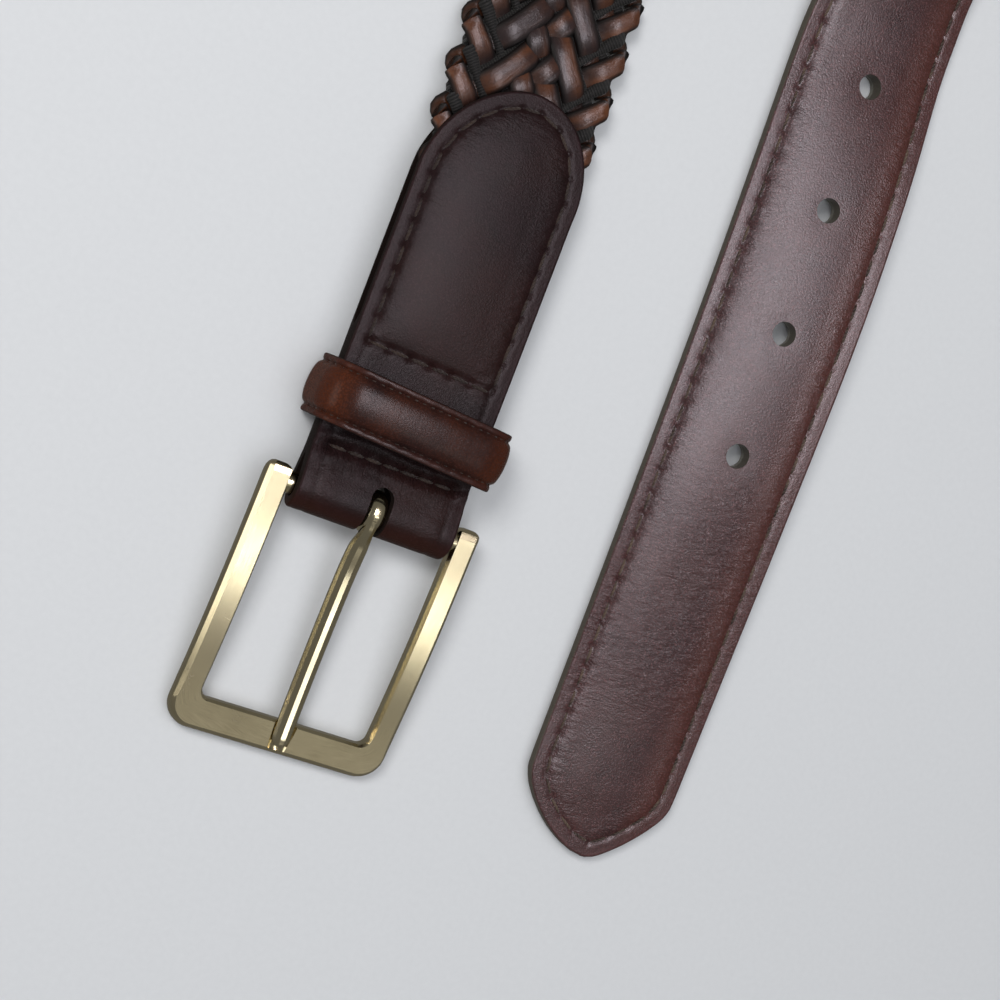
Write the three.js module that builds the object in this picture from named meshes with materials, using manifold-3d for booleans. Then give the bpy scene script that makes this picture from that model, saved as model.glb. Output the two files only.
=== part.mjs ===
// A braided leather belt lying on a surface: both ends face up side by side, and the middle stands
// on its edge in a loop. Millimetres, +Z up, +Y from the buckle towards the loop.
// The origin is the middle of the keeper's flat underside, on the surface.
import * as THREE from "three";
import Module from "manifold-3d";
import { mergeVertices } from "three/addons/utils/BufferGeometryUtils.js";

const wasm = await Module();
wasm.setup();

// Driving sizes.
const BELT_LENGTH = 1047; // from the heel bar's axis to the tip, along the strap
const BAR_Y = -17.4; // the heel bar's axis, from the keeper's middle
const REST_HALF_WIDTH = 16.7; // half of the strap's width where it stands on its edge
const REST_HALF_THICK = 2.0;

// The strap's way over the surface: length of each stretch and its turn to the right, in degrees.
const STRETCHES = [
  { length: 55, turn: 0 },
  { length: 65, turn: -2.5 },
  { length: 208.876, turn: 0 },
  { length: 57.596, turn: -27.5 },
  { length: 220.843, turn: 235.5 },
  { length: 57.596, turn: -27.5 },
  { length: 242.089, turn: 0 },
  { length: 140, turn: 1.6 },
];
// The strap's roll about its own length, by distance from the heel bar: 90 stands it on its edge.
const ROLL = [
  [0, 0], [118, 0], [150, 9], [185, 31], [225, 62], [262, 84], [290, 90], [702, 90],
  [727, 85], [767, 66], [807, 38], [847, 12], [879, 0], [907, -6.5], [929, -8],
  [972, -5], [1017, -1.5], [1047, 0],
];
// How far the strap's middle is held above where a thin strap would lie.
const LIFT = [
  [0, 4.2], [18, 3.6], [84, 2.0], [112, 0.2], [140, 0.05], [772, 0.05], [797, 1.7], [846, 1.7],
  [868, 0.3], [890, 0.05], [1047, 0.05],
];

const TAB = { halfWidth: 16, end: 81.4, ogive: 19, apexShift: 1.8, pocketStart: 32, pocketHalf: 2.05,
  barBore: 2.4, foldRadius: 4.4, slotHalf: 2.5, slotBack: 5.5 };
const BRAID = { start: 33, end: 839, halfThick: 1.85, scallop: 0.55, pitch: 4.5 };
const KEEPER = { x: 0.3, halfWidth: 18.9, height: 16, band: 11.3, wall: 1.8, skew: -3 };
const STRAP = { length: 247, halfWidth: 16.5, ogive: 19 };
const HOLES = { count: 5, first: 85.2, pitch: 25.4, radius: 2.45, offset: -0.8 };
const FRAME = { halfWidth: 21.8, bar: 4.8, end: -48.5, endBar: 6.5, heel: 3.0, corner: 5,
  innerCorner: 1.8, halfHeight: 1.8, topAtBar: 6.6, tilt: 5.6, arch: 1.0, barRadius: 2.1,
  notchRadius: 2.45, notchDepth: 1.1 };
const PRONG = { halfWidth: 1.9, ring: 4.2, bore: 2.4, halfThick: 1.15, tip: -46.8, side: 0.5 };

const radians = THREE.MathUtils.degToRad;

// A smooth curve through keyed values.
function keyed(keys, at) {
  if (at <= keys[0][0]) return keys[0][1];
  const last = keys.length - 1;
  if (at >= keys[last][0]) return keys[last][1];
  let i = 0;
  while (at > keys[i + 1][0]) i++;
  const slope = (k) => {
    if (k <= 0 || k >= last) return 0;
    const before = (keys[k][1] - keys[k - 1][1]) / (keys[k][0] - keys[k - 1][0]);
    const after = (keys[k + 1][1] - keys[k][1]) / (keys[k + 1][0] - keys[k][0]);
    return before * after <= 0 ? 0 : (2 * before * after) / (before + after);
  };
  const span = keys[i + 1][0] - keys[i][0];
  const t = (at - keys[i][0]) / span;
  const a = slope(i) * span, b = slope(i + 1) * span, rise = keys[i + 1][1] - keys[i][1];
  return keys[i][1] + t * (a + t * (3 * rise - 2 * a - b + t * (a + b - 2 * rise)));
}

// Where the strap's middle line is over the surface, and its heading from +Y to the right.
function planAt(s) {
  let x = 0, y = BAR_Y, heading = 0, left = s;
  for (const [i, { length, turn }] of STRETCHES.entries()) {
    const part = i === 0 ? Math.min(left, length) : Math.max(0, Math.min(left, length));
    const swing = radians(turn) * (part / length);
    if (Math.abs(swing) < 1e-9) {
      x += part * Math.sin(heading);
      y += part * Math.cos(heading);
    } else {
      const radius = part / swing;
      x += radius * (Math.cos(heading) - Math.cos(heading + swing));
      y += radius * (Math.sin(heading + swing) - Math.sin(heading));
    }
    heading += swing;
    left -= part;
    if (left <= 0) break;
  }
  return { x, y, heading };
}

// The strap's own frame: its middle, the way across it and the way out of its outer face.
function strapFrame(s) {
  const { x, y, heading } = planAt(s);
  const roll = radians(keyed(ROLL, s));
  const edge = Math.sqrt(Math.sin(roll) ** 2 + 0.0004) - 0.02;
  const z = REST_HALF_WIDTH * edge + REST_HALF_THICK * Math.cos(roll) + keyed(LIFT, s);
  const side = new THREE.Vector3(Math.cos(heading), -Math.sin(heading), 0);
  const up = new THREE.Vector3(0, 0, 1);
  const across = side.clone().multiplyScalar(Math.cos(roll)).addScaledVector(up, Math.sin(roll));
  const out = side.clone().multiplyScalar(-Math.sin(roll)).addScaledVector(up, Math.cos(roll));
  return { middle: new THREE.Vector3(x, y, z), across, out };
}

// A point of the strap: s along it, u across it, h out of its middle plane.
function strapPoint(s, u, h) {
  const { middle, across, out } = strapFrame(s);
  return middle.addScaledVector(across, u).addScaledVector(out, h);
}

// A closed solid through equal rings of points, with a flat fan on each end.
function loft(rings) {
  const count = rings[0].length, points = rings.flat(), faces = [];
  for (let r = 0; r + 1 < rings.length; r++)
    for (let i = 0; i < count; i++) {
      const j = (i + 1) % count, a = r * count, b = a + count;
      faces.push(a + i, a + j, b + i, a + j, b + j, b + i);
    }
  const cap = (ring, start, flip) => {
    const middle = ring.reduce((sum, p) => sum.add(p), new THREE.Vector3()).divideScalar(count);
    const centre = points.push(middle) - 1;
    for (let i = 0; i < count; i++) {
      const pair = [start + i, start + ((i + 1) % count)];
      if (flip) pair.reverse();
      faces.push(centre, pair[1], pair[0]);
    }
  };
  cap(rings[0], 0, false);
  cap(rings[rings.length - 1], (rings.length - 1) * count, true);
  return solid(points, faces);
}

// A manifold solid from points and faces, turned to face outwards.
function solid(points, faces) {
  let volume = 0;
  for (let i = 0; i < faces.length; i += 3) {
    const [a, b, c] = [points[faces[i]], points[faces[i + 1]], points[faces[i + 2]]];
    volume += a.dot(new THREE.Vector3().crossVectors(b, c));
  }
  if (volume < 0)
    for (let i = 0; i < faces.length; i += 3)
      [faces[i + 1], faces[i + 2]] = [faces[i + 2], faces[i + 1]];
  const vertProperties = new Float32Array(points.flatMap((p) => [p.x, p.y, p.z]));
  return new wasm.Manifold(
    new wasm.Mesh({ numProp: 3, vertProperties, triVerts: new Uint32Array(faces) }),
  );
}

// A manifold solid from a three.js geometry.
function solidOf(geometry) {
  const bare = geometry.clone();
  bare.deleteAttribute("normal");
  bare.deleteAttribute("uv");
  const merged = mergeVertices(bare, 1e-4);
  return new wasm.Manifold(
    new wasm.Mesh({
      numProp: 3,
      vertProperties: new Float32Array(merged.attributes.position.array),
      triVerts: new Uint32Array(merged.index.array),
    }),
  );
}

// A named mesh of a manifold solid.
function meshOf(name, made, material) {
  const { vertProperties, triVerts, numProp } = made.getMesh();
  const count = vertProperties.length / numProp, positions = new Float32Array(count * 3);
  for (let i = 0; i < count; i++)
    positions.set(vertProperties.subarray(i * numProp, i * numProp + 3), i * 3);
  const geometry = new THREE.BufferGeometry();
  geometry.setAttribute("position", new THREE.BufferAttribute(positions, 3));
  geometry.setIndex(new THREE.BufferAttribute(new Uint32Array(triVerts), 1));
  geometry.computeVertexNormals();
  const mesh = new THREE.Mesh(geometry, material);
  mesh.name = name;
  return mesh;
}

// A cylinder between two points.
function rod(from, to, radius, sides = 32) {
  const way = new THREE.Vector3().subVectors(to, from);
  const geometry = new THREE.CylinderGeometry(radius, radius, way.length(), sides);
  geometry.applyQuaternion(
    new THREE.Quaternion().setFromUnitVectors(new THREE.Vector3(0, 1, 0), way.clone().normalize()),
  );
  const middle = new THREE.Vector3().addVectors(from, to).multiplyScalar(0.5);
  geometry.translate(middle.x, middle.y, middle.z);
  return solidOf(geometry);
}

// Half the width of an end that runs out in a pointed arch, by the distance from its apex.
function ogiveHalf(distance, length, half, fullness = 0.9) {
  const t = THREE.MathUtils.clamp(distance / length, 0, 1);
  return Math.max(0.5, half * Math.sin(Math.acos(1 - t)) ** fullness);
}

const ACROSS = [-1, -0.95, -0.8, -0.5, 0, 0.5, 0.8, 0.95, 1];

// One ring of a domed leather strap: its top bulges from the edge height to the crown.
function domedRing(s, left, right, low, edge, crown) {
  const at = (c) => (left + right) / 2 + (c * (right - left)) / 2;
  const top = ACROSS.map((c) => {
    const bulge = edge + (crown - edge) * (1 - Math.abs(c) ** 3);
    return strapPoint(s, at(c), Math.abs(c) === 1 ? edge - 0.25 : bulge);
  });
  const under = [1, 0.5, 0, -0.5, -1].map((c) => strapPoint(s, at(c), low));
  return [...top, ...under];
}

// A flat slab of the strap's path, used to cut a pocket.
function slab(from, to, half, low, high) {
  const rings = [];
  for (let s = from; s <= to + 1e-6; s += (to - from) / 16)
    rings.push([[-half, high], [half, high], [half, low], [-half, low]].map(
      ([u, h]) => strapPoint(s, u, h)));
  return loft(rings);
}

// The leather tab, folded round the heel bar and sewn over and under the braid's end.
function buckleTab() {
  const middle = strapFrame(0).middle, rings = [];
  const outer = [[0, 4.4], [8, 3.2], [18, 3.0], [32, 3.2], [60, 3.25], [82, 3.1]];
  for (const angle of [86, 72, 58, 44, 30, 15]) {
    const back = -TAB.foldRadius * Math.sin(radians(angle));
    const high = TAB.foldRadius * Math.cos(radians(angle));
    rings.push(domedRing(back, -TAB.halfWidth, TAB.halfWidth, -high, high - 0.1, high));
  }
  const stations = [0, 3, 6, 10, 14, 18, 24, 30, 36, 42, 48, 54, 60, 62.4, 65, 68, 71, 74, 76.5,
    78.5, 80, 81, 81.4];
  for (const s of stations) {
    const left = ogiveHalf(TAB.end - s, TAB.ogive, TAB.halfWidth, 1.08);
    const right = ogiveHalf(TAB.end - s, TAB.ogive, TAB.halfWidth, 0.86);
    const shift = TAB.apexShift * THREE.MathUtils.clamp(1 - (TAB.end - s) / TAB.ogive, 0, 1);
    const high = keyed(outer, s);
    rings.push(domedRing(s, shift - left, shift + right, -high, high - 0.35, high + 0.25));
  }
  const pocket = slab(TAB.pocketStart, TAB.end + 3, TAB.halfWidth + 4, -TAB.pocketHalf,
    TAB.pocketHalf);
  const bore = rod(
    new THREE.Vector3(-30, middle.y, middle.z), new THREE.Vector3(30, middle.y, middle.z),
    TAB.barBore);
  const slotFront = rod(
    new THREE.Vector3(0, middle.y + TAB.slotBack - TAB.slotHalf, -10),
    new THREE.Vector3(0, middle.y + TAB.slotBack - TAB.slotHalf, 30), TAB.slotHalf, 24);
  const slotBox = new THREE.BoxGeometry(TAB.slotHalf * 2, 12, 40);
  slotBox.translate(0, middle.y - 6 + TAB.slotBack - TAB.slotHalf, 10);
  return loft(rings).subtract(pocket).subtract(bore).subtract(slotFront)
    .subtract(solidOf(slotBox));
}

// The woven band, plain, with its scalloped edges.
function braid() {
  const rings = [];
  const { start, end, halfThick, pitch } = BRAID;
  const steps = Math.round((end - start) / pitch);
  const width = [[33, 15.4], [60, 16.2], [78, 16.6], [100, 16.3], [130, 16.2], [790, 16.2],
    [839, 15.6]];
  for (let i = 0; i <= steps; i++) {
    const s = start + ((end - start) * i) / steps;
    const half = keyed(width, s) + (i % 2 ? BRAID.scallop : -BRAID.scallop);
    const low = halfThick * 0.62;
    const section = [[-half, 0], [-half + 0.9, low], [-half * 0.72, halfThick], [0, halfThick],
      [half * 0.72, halfThick], [half - 0.9, low], [half, 0], [half - 0.9, -low],
      [half * 0.72, -halfThick], [0, -halfThick], [-half * 0.72, -halfThick], [-half + 0.9, -low]];
    rings.push(section.map(([u, h]) => strapPoint(s, u, h)));
  }
  return loft(rings);
}

// The stitched leather ring round the tab, with room over the tab for the strap's end.
function keeper() {
  const outline = (inset) => {
    const shape = new THREE.Shape();
    const w = KEEPER.halfWidth - inset, low = inset, high = KEEPER.height - inset;
    const foot = 2.6 - inset * 0.8, shoulder = 6.5 - inset * 0.8, rise = 0.7;
    shape.moveTo(-w + foot, low);
    shape.lineTo(w - foot, low);
    shape.quadraticCurveTo(w, low, w, low + foot);
    shape.lineTo(w, high - rise - shoulder);
    shape.quadraticCurveTo(w, high - rise, w - shoulder, high - rise * 0.6);
    shape.quadraticCurveTo(0, high + rise * 0.4, -w + shoulder, high - rise * 0.6);
    shape.quadraticCurveTo(-w, high - rise, -w, high - rise - shoulder);
    shape.lineTo(-w, low + foot);
    shape.quadraticCurveTo(-w, low, -w + foot, low);
    return shape;
  };
  const settings = { depth: KEEPER.band, bevelEnabled: false, curveSegments: 8 };
  const outer = new THREE.ExtrudeGeometry(outline(0), settings);
  const innerSettings = { ...settings, depth: KEEPER.band + 4 };
  const inner = new THREE.ExtrudeGeometry(outline(KEEPER.wall), innerSettings);
  inner.translate(0, 0, -2);
  const made = solidOf(outer).subtract(solidOf(inner));
  return made.translate([0, 0, -KEEPER.band / 2]).rotate([90, 0, 0])
    .rotate([0, 0, KEEPER.skew]).translate([KEEPER.x, 0, 0]);
}

// Half the width of the strap's pointed tip, by the distance from the apex. Its outer side is fuller.
const TIP_HALF = [[0, 0.6], [0.5, 2.2], [2, 4.8], [5, 8.8], [9, 13.0], [12, 15.4], [14.5, 16.4],
  [18, 16.5]];
const TIP_HALF_FULL = [[0, 0.6], [0.5, 2.9], [2, 6.3], [5, 10.4], [9, 14.0], [12, 15.7], [15, 16.4],
  [18, 16.5]];
const TIP_SHIFT = 1.6; // the apex lies this far to one side of the strap's middle
const TIP_STATIONS = [0, 0.5, 1.2, 2, 3.4, 5, 7, 9, 10.5, 12, 13.2, 14.5, 18, 24, 32, 42, 54, 66,
  78, 90, 102, 114, 126, 138, 150, 160, 170, 178, 185, 190, 194, 198, 202, 206, 212, 218, 224,
  228, 231.5, 235, 238, 241, 243.5, 245.3, 246.5, 247];

// The strap's outline by distance from its tip: a pointed tip and a pointed arch over the braid.
function strapHalf(d, tip = TIP_HALF) {
  if (d <= 18) return keyed(tip, d);
  return ogiveHalf(STRAP.length - d, STRAP.ogive, STRAP.halfWidth);
}
const tipShift = (d) => -TIP_SHIFT * THREE.MathUtils.clamp(1 - d / 14, 0, 1);

// How far the strap's two leathers lie from its middle plane, by distance from the tip.
const TOP_LOW = [[0, -0.7], [190, -0.7], [206, 2.15], [247, 2.15]];
const TOP_EDGE = [[0, 1.0], [14, 1.25], [182, 1.25], [206, 3.35], [247, 3.25]];
const TOP_CROWN = [[0, 1.2], [14, 1.9], [40, 2.2], [176, 2.2], [206, 3.85], [247, 3.45]];
const LINING_HIGH = [[0, -1.0], [190, -1.0], [206, -2.15], [247, -2.15]];
const LINING_LOW = [[0, -2.0], [190, -2.0], [206, -3.35], [247, -3.3]];

function punchHoles(made) {
  let result = made;
  for (let i = 0; i < HOLES.count; i++) {
    const s = BELT_LENGTH - HOLES.first - i * HOLES.pitch;
    const punch = rod(strapPoint(s, HOLES.offset, -6), strapPoint(s, HOLES.offset, 6),
      HOLES.radius, 24);
    result = result.subtract(punch);
  }
  return result;
}

// The domed outer leather of the strap with the holes.
function tipStrap() {
  const rings = TIP_STATIONS.map((d) => {
    const shift = tipShift(d), full = strapHalf(d, TIP_HALF_FULL);
    return domedRing(BELT_LENGTH - d, shift - strapHalf(d), shift + full, keyed(TOP_LOW, d),
      keyed(TOP_EDGE, d), keyed(TOP_CROWN, d));
  });
  return punchHoles(loft(rings));
}

// The thin lining under it.
function tipLining() {
  const rings = TIP_STATIONS.map((d) => {
    const less = Math.max(0.4, strapHalf(d) - 0.1), shift = tipShift(d), s = BELT_LENGTH - d;
    const more = Math.max(0.4, strapHalf(d, TIP_HALF_FULL) - 0.1);
    const low = keyed(LINING_LOW, d), high = keyed(LINING_HIGH, d);
    return [[-less, high], [0, high], [more, high], [more, low], [0, low], [-less, low]].map(
      ([u, h]) => strapPoint(s, u + shift, h));
  });
  return punchHoles(loft(rings));
}

// The frame's middle height: it falls from the heel bar to the end, with a slight arch.
function frameMiddle(y) {
  const fall = FRAME.topAtBar + y * Math.tan(radians(FRAME.tilt));
  return fall + FRAME.arch * Math.sin(Math.PI * THREE.MathUtils.clamp(y / FRAME.end, 0, 1));
}

// The height of the notch's floor, where the prong rests on the end bar.
const notchFloor = () => frameMiddle(-45) + FRAME.halfHeight - FRAME.notchDepth;

// The cast frame: two sides and an end in one U, joined by the round heel bar.
function buckleFrame() {
  const { halfWidth, bar, end, endBar, heel, corner, innerCorner, halfHeight } = FRAME;
  const inner = halfWidth - bar, innerEnd = end + endBar;
  const half = [];
  for (const y of [heel, heel - 0.5, heel - 1.3, 0, -6, -13, -20, -27, -34])
    half.push({ out: [halfWidth, y], in: [inner, y], full: y > heel - 1 ? (y === heel ? 0.55 : 0.85) : 1 });
  for (let i = 0; i <= 8; i++) {
    const a = radians((90 * i) / 8), c = Math.cos(a), s = Math.sin(a);
    half.push({
      out: [halfWidth - corner + corner * c, end + corner - corner * s],
      in: [inner - innerCorner + innerCorner * c, innerEnd + innerCorner - innerCorner * s],
      full: 1,
    });
  }
  half.push({ out: [6, end], in: [6, innerEnd], full: 1 });
  const mirrored = half.map((st) => ({ out: [-st.out[0], st.out[1]], in: [-st.in[0], st.in[1]],
    full: st.full })).reverse();
  const rings = [...half, ...mirrored].map(({ out, in: into, full }) => {
    const o = new THREE.Vector2(...out), n = new THREE.Vector2(...into);
    const way = new THREE.Vector2().subVectors(o, n), w = way.length();
    way.normalize();
    const edge = (1 - full) * w * 0.5;
    const section = [[0, -1.0], [0, 0.9], [0.6, halfHeight], [w - 1.7, halfHeight],
      [w - 0.4, 0.9], [w, 0.1], [w, -1.0], [w - 0.8, -halfHeight], [0.6, -halfHeight]];
    return section.map(([a, b]) => {
      const along = THREE.MathUtils.clamp(a, edge, w - edge), y = n.y + way.y * along;
      const belt = BAR_Y + y;
      return new THREE.Vector3(n.x + way.x * along, belt, frameMiddle(y) + b * full);
    });
  });
  const middle = strapFrame(0).middle;
  const bar3 = rod(new THREE.Vector3(-inner - 2.4, middle.y, middle.z),
    new THREE.Vector3(inner + 2.4, middle.y, middle.z), FRAME.barRadius);
  const notchAxis = notchFloor() + FRAME.notchRadius;
  const notch = rod(new THREE.Vector3(PRONG.side, BAR_Y + end - 4, notchAxis),
    new THREE.Vector3(PRONG.side, BAR_Y + innerEnd + 4, notchAxis), FRAME.notchRadius, 28);
  return loft(rings).add(bar3).subtract(notch);
}

// The prong: a ring round the heel bar and a shank that rests in the end bar's notch.
function prong() {
  const middle = strapFrame(0).middle, { halfWidth, ring, bore, halfThick } = PRONG;
  const rest = notchFloor() + 0.3 + halfThick;
  const line = [[0.6, middle.z + 3.0], [-3, middle.z + 2.5], [-6.6, middle.z + 1.0],
    [-12.5, middle.z - 0.05], [-24, 5.3], [-34.7, 4.8], [-41, rest + 0.05], [-45, rest]];
  const height = (y) => keyed(line.map(([a, b]) => [-a, b]), -y);
  const rings = [];
  const stations = [0.6, -1.5, -3, -4.8, -6.6, -9, -12.5, -17, -22, -28, -34, -38, -41, -43.5, -45,
    -46, PRONG.tip];
  for (const y of stations) {
    const near = Math.min(1, (y - PRONG.tip) / 1.6), full = Math.sqrt(Math.max(0.06, near));
    const wide = (halfWidth - 0.35 * THREE.MathUtils.clamp(-y / 44, 0, 1)) * full;
    const thick = halfThick * (0.72 + 0.28 * full);
    const z = height(y);
    const section = [[-0.6, 1], [0.6, 1], [1, 0.45], [1, -0.5], [0.55, -1], [-0.55, -1],
      [-1, -0.5], [-1, 0.45]];
    const x = PRONG.side * THREE.MathUtils.clamp(-y / 45, 0, 1) ** 1.5;
    rings.push(section.map(([a, b]) => new THREE.Vector3(x + a * wide, BAR_Y + y, z + b * thick)));
  }
  const side = (r, w, sides) => rod(new THREE.Vector3(-w, middle.y, middle.z),
    new THREE.Vector3(w, middle.y, middle.z), r, sides);
  return loft(rings).add(side(ring, halfWidth, 32)).subtract(side(bore, halfWidth + 2, 32));
}

const leather = new THREE.MeshStandardMaterial({ color: 0x4a2a22, roughness: 0.42, metalness: 0 });
const woven = new THREE.MeshStandardMaterial({ color: 0x6b3d26, roughness: 0.5, metalness: 0 });
const lining = new THREE.MeshStandardMaterial({ color: 0x4b4a40, roughness: 0.7, metalness: 0 });
const metal = new THREE.MeshStandardMaterial({ color: 0xc9b483, roughness: 0.3, metalness: 1 });

const group = new THREE.Group();
const strap = new THREE.Group();
strap.add(
  meshOf("buckle_tab", buckleTab(), leather),
  meshOf("keeper", keeper(), leather),
  meshOf("braid", braid(), woven),
  meshOf("tip_strap", tipStrap(), leather),
  meshOf("tip_lining", tipLining(), lining),
);
const buckle = new THREE.Group();
buckle.add(meshOf("buckle_frame", buckleFrame(), metal), meshOf("prong", prong(), metal));
group.add(strap, buckle);

export default group;
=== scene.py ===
"""A braided leather belt with a satin brass buckle, dressed over its CAD frame.

Sizes are worked in millimetres on the belt's own path, s along the strap from the heel bar, u across
it and h out of its middle plane, and turned into metres where a mesh is made.
"""

import logging
import math
from dataclasses import dataclass, field
from enum import Enum

import bmesh
import bpy
import numpy as np
from mathutils import Matrix, Vector


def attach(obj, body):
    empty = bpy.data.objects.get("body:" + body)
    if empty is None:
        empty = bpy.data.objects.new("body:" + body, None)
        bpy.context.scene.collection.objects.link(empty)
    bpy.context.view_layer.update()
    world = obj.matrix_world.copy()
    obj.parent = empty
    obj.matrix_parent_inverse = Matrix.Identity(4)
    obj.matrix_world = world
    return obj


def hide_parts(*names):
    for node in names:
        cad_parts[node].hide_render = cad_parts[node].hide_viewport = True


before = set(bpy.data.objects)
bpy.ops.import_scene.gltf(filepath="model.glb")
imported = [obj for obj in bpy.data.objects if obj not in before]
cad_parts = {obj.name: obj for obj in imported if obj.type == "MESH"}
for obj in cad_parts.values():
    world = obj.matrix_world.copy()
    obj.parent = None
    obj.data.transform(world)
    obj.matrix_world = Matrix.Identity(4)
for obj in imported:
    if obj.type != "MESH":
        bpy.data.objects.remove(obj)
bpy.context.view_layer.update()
LOG = logging.getLogger("belt")
MM = 0.001
MM_IN_A_METRE = 1000.0
SHARP_ANGLE = 40.0
FLAT_ANGLE = 0.1
SOFT_ANGLE = 17.0
SOFT_SEGMENTS = 3
FACE_WEIGHT = 90
Array = np.ndarray


class Body(Enum):
    """The CAD bodies that pieces ride on."""

    STRAP = "strap"
    FRAME = "frame"
    PRONG = "prong"


class Solid(Enum):
    """What a second closed mesh does to a piece."""

    JOINED = "UNION"
    CUT_OUT = "DIFFERENCE"


def keyed(keys: tuple, at: Array) -> Array:
    """A smooth curve through keyed values, level before the first and after the last.

    Args:
        keys: pairs of a place and its value, in order.
        at: the places to read.

    Returns:
        The values there.
    """
    table = np.array(keys, float)
    x, y = table[:, 0], table[:, 1]
    slope = np.diff(y) / np.diff(x)
    lean = np.zeros(len(x))
    before, after = slope[:-1], slope[1:]
    total = np.where(before + after == 0, 1.0, before + after)
    lean[1:-1] = np.where(before * after > 0, 2 * before * after / total, 0.0)
    t = np.clip(np.asarray(at, float), x[0], x[-1])
    i = np.clip(np.searchsorted(x, t, "right") - 1, 0, len(x) - 2)
    span = x[i + 1] - x[i]
    w = (t - x[i]) / span
    a, b, rise = lean[i] * span, lean[i + 1] * span, y[i + 1] - y[i]
    return y[i] + w * (a + w * (3 * rise - 2 * a - b + w * (a + b - 2 * rise)))


def ease(low: float, high: float, at: Array) -> Array:
    """A smooth step from 0 at low to 1 at high."""
    t = np.clip((np.asarray(at, float) - low) / (high - low), 0, 1)
    return t * t * (3 - 2 * t)


def bell(distance: Array, width: float) -> Array:
    """A bell curve, 1 at no distance."""
    return np.exp(-((np.asarray(distance) / width) ** 2))


def unit(rows: Array) -> Array:
    """Each row at length 1."""
    return rows / np.maximum(np.linalg.norm(rows, axis=-1, keepdims=True), 1e-12)


def angles_round(count: int) -> Array:
    """Angles once round, evenly spaced."""
    return np.arange(count) / count * 2 * math.pi


def run_along(line: Array) -> Array:
    """How far along a line of points each of them lies."""
    return np.concatenate([[0], np.cumsum(np.linalg.norm(np.diff(line, axis=0), axis=1))])


def resample(line: Array, pitch: float) -> Array:
    """Points at an even pitch, close to the one asked for, along a line of points.

    Args:
        line: the line's points, one a row.
        pitch: the spacing to come close to.

    Returns:
        The evenly spaced points, both ends included.
    """
    run = run_along(line)
    count = max(2, int(round(run[-1] / pitch)) + 1)
    places = np.linspace(0, run[-1], count)
    return np.stack([np.interp(places, run, line[:, k]) for k in range(line.shape[1])], axis=1)


def distance_to(points: Array, line: Array) -> Array:
    """How far each point lies from a line of points in a plane.

    Args:
        points: any array whose last axis holds two numbers.
        line: the line's points, one a row.

    Returns:
        The distances, in the points' own shape.
    """
    flat = points.reshape(-1, 2)
    best = np.full(len(flat), 1e9)
    for a, b in zip(line[:-1], line[1:]):
        way = b - a
        t = np.clip(((flat - a) @ way) / max(way @ way, 1e-12), 0, 1)
        best = np.minimum(best, np.hypot(*(flat - a - t[:, None] * way).T))
    return best.reshape(points.shape[:-1])


@dataclass(frozen=True)
class BeltPath:
    """The strap's way over the surface, as the CAD has it."""

    length: float = 1047.0
    bar_y: float = -17.4
    half_width: float = 16.7
    half_thick: float = 2.0
    stretches: tuple = (
        (55, 0), (65, -2.5), (208.876, 0), (57.596, -27.5),
        (220.843, 235.5), (57.596, -27.5), (242.089, 0), (140, 1.6),
    )
    roll: tuple = (
        (0, 0), (118, 0), (150, 9), (185, 31), (225, 62), (262, 84), (290, 90), (702, 90),
        (727, 85), (767, 66), (807, 38), (847, 12), (879, 0), (907, -6.5), (929, -8),
        (972, -5), (1017, -1.5), (1047, 0),
    )
    lift: tuple = (
        (0, 4.2), (18, 3.6), (84, 2.0), (112, 0.2), (140, 0.05), (772, 0.05), (797, 1.7),
        (846, 1.7), (868, 0.3), (890, 0.05), (1047, 0.05),
    )

    def plan(self, s: Array) -> tuple[Array, Array, Array]:
        """The middle line's place over the surface and its heading.

        Args:
            s: distances along the strap.

        Returns:
            x, y and the heading from +Y to the right, in radians.
        """
        x, y = np.zeros_like(s), np.full_like(s, self.bar_y)
        heading, left = np.zeros_like(s), s.copy()
        for i, (length, turn) in enumerate(self.stretches):
            part = np.minimum(left, length) if i == 0 else np.clip(left, 0, length)
            swing = math.radians(turn) * part / length
            flat = np.abs(swing) < 1e-9
            radius = part / np.where(flat, 1.0, swing)
            ahead = heading + swing
            x += np.where(flat, part * np.sin(heading), radius * (np.cos(heading) - np.cos(ahead)))
            y += np.where(flat, part * np.cos(heading), radius * (np.sin(ahead) - np.sin(heading)))
            heading, left = ahead, left - part
        return x, y, heading

    def axes(self, s: Array) -> tuple[Array, Array, Array]:
        """The strap's own frame.

        Args:
            s: distances along the strap, in one row.

        Returns:
            Its middle, the way across it and the way out of its outer face.
        """
        x, y, heading = self.plan(s)
        roll = np.radians(keyed(self.roll, s))
        edge = np.sqrt(np.sin(roll) ** 2 + 0.0004) - 0.02
        z = self.half_width * edge + self.half_thick * np.cos(roll) + keyed(self.lift, s)
        side = np.stack([np.cos(heading), -np.sin(heading), np.zeros_like(s)], axis=1)
        up = np.array([0.0, 0.0, 1.0])
        cos, sin = np.cos(roll)[:, None], np.sin(roll)[:, None]
        return np.stack([x, y, z], axis=1), side * cos + up * sin, -side * sin + up * cos

    def bar_height(self) -> float:
        """The height of the heel bar's axis."""
        return float(self.axes(np.array([0.0]))[0][0, 2])

    def point(self, s: Array, u: Array, h: Array) -> Array:
        """Points of the strap.

        Args:
            s: distances along it.
            u: distances across it.
            h: heights out of its middle plane.

        Returns:
            The points in millimetres, in the arrays' common shape.
        """
        s, u, h = np.broadcast_arrays(*(np.asarray(v, float) for v in (s, u, h)))
        middle, across, out = self.axes(s.ravel())
        made = middle + across * u.reshape(-1, 1) + out * h.reshape(-1, 1)
        return made.reshape(*s.shape, 3)


PATH = BeltPath()


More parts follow.
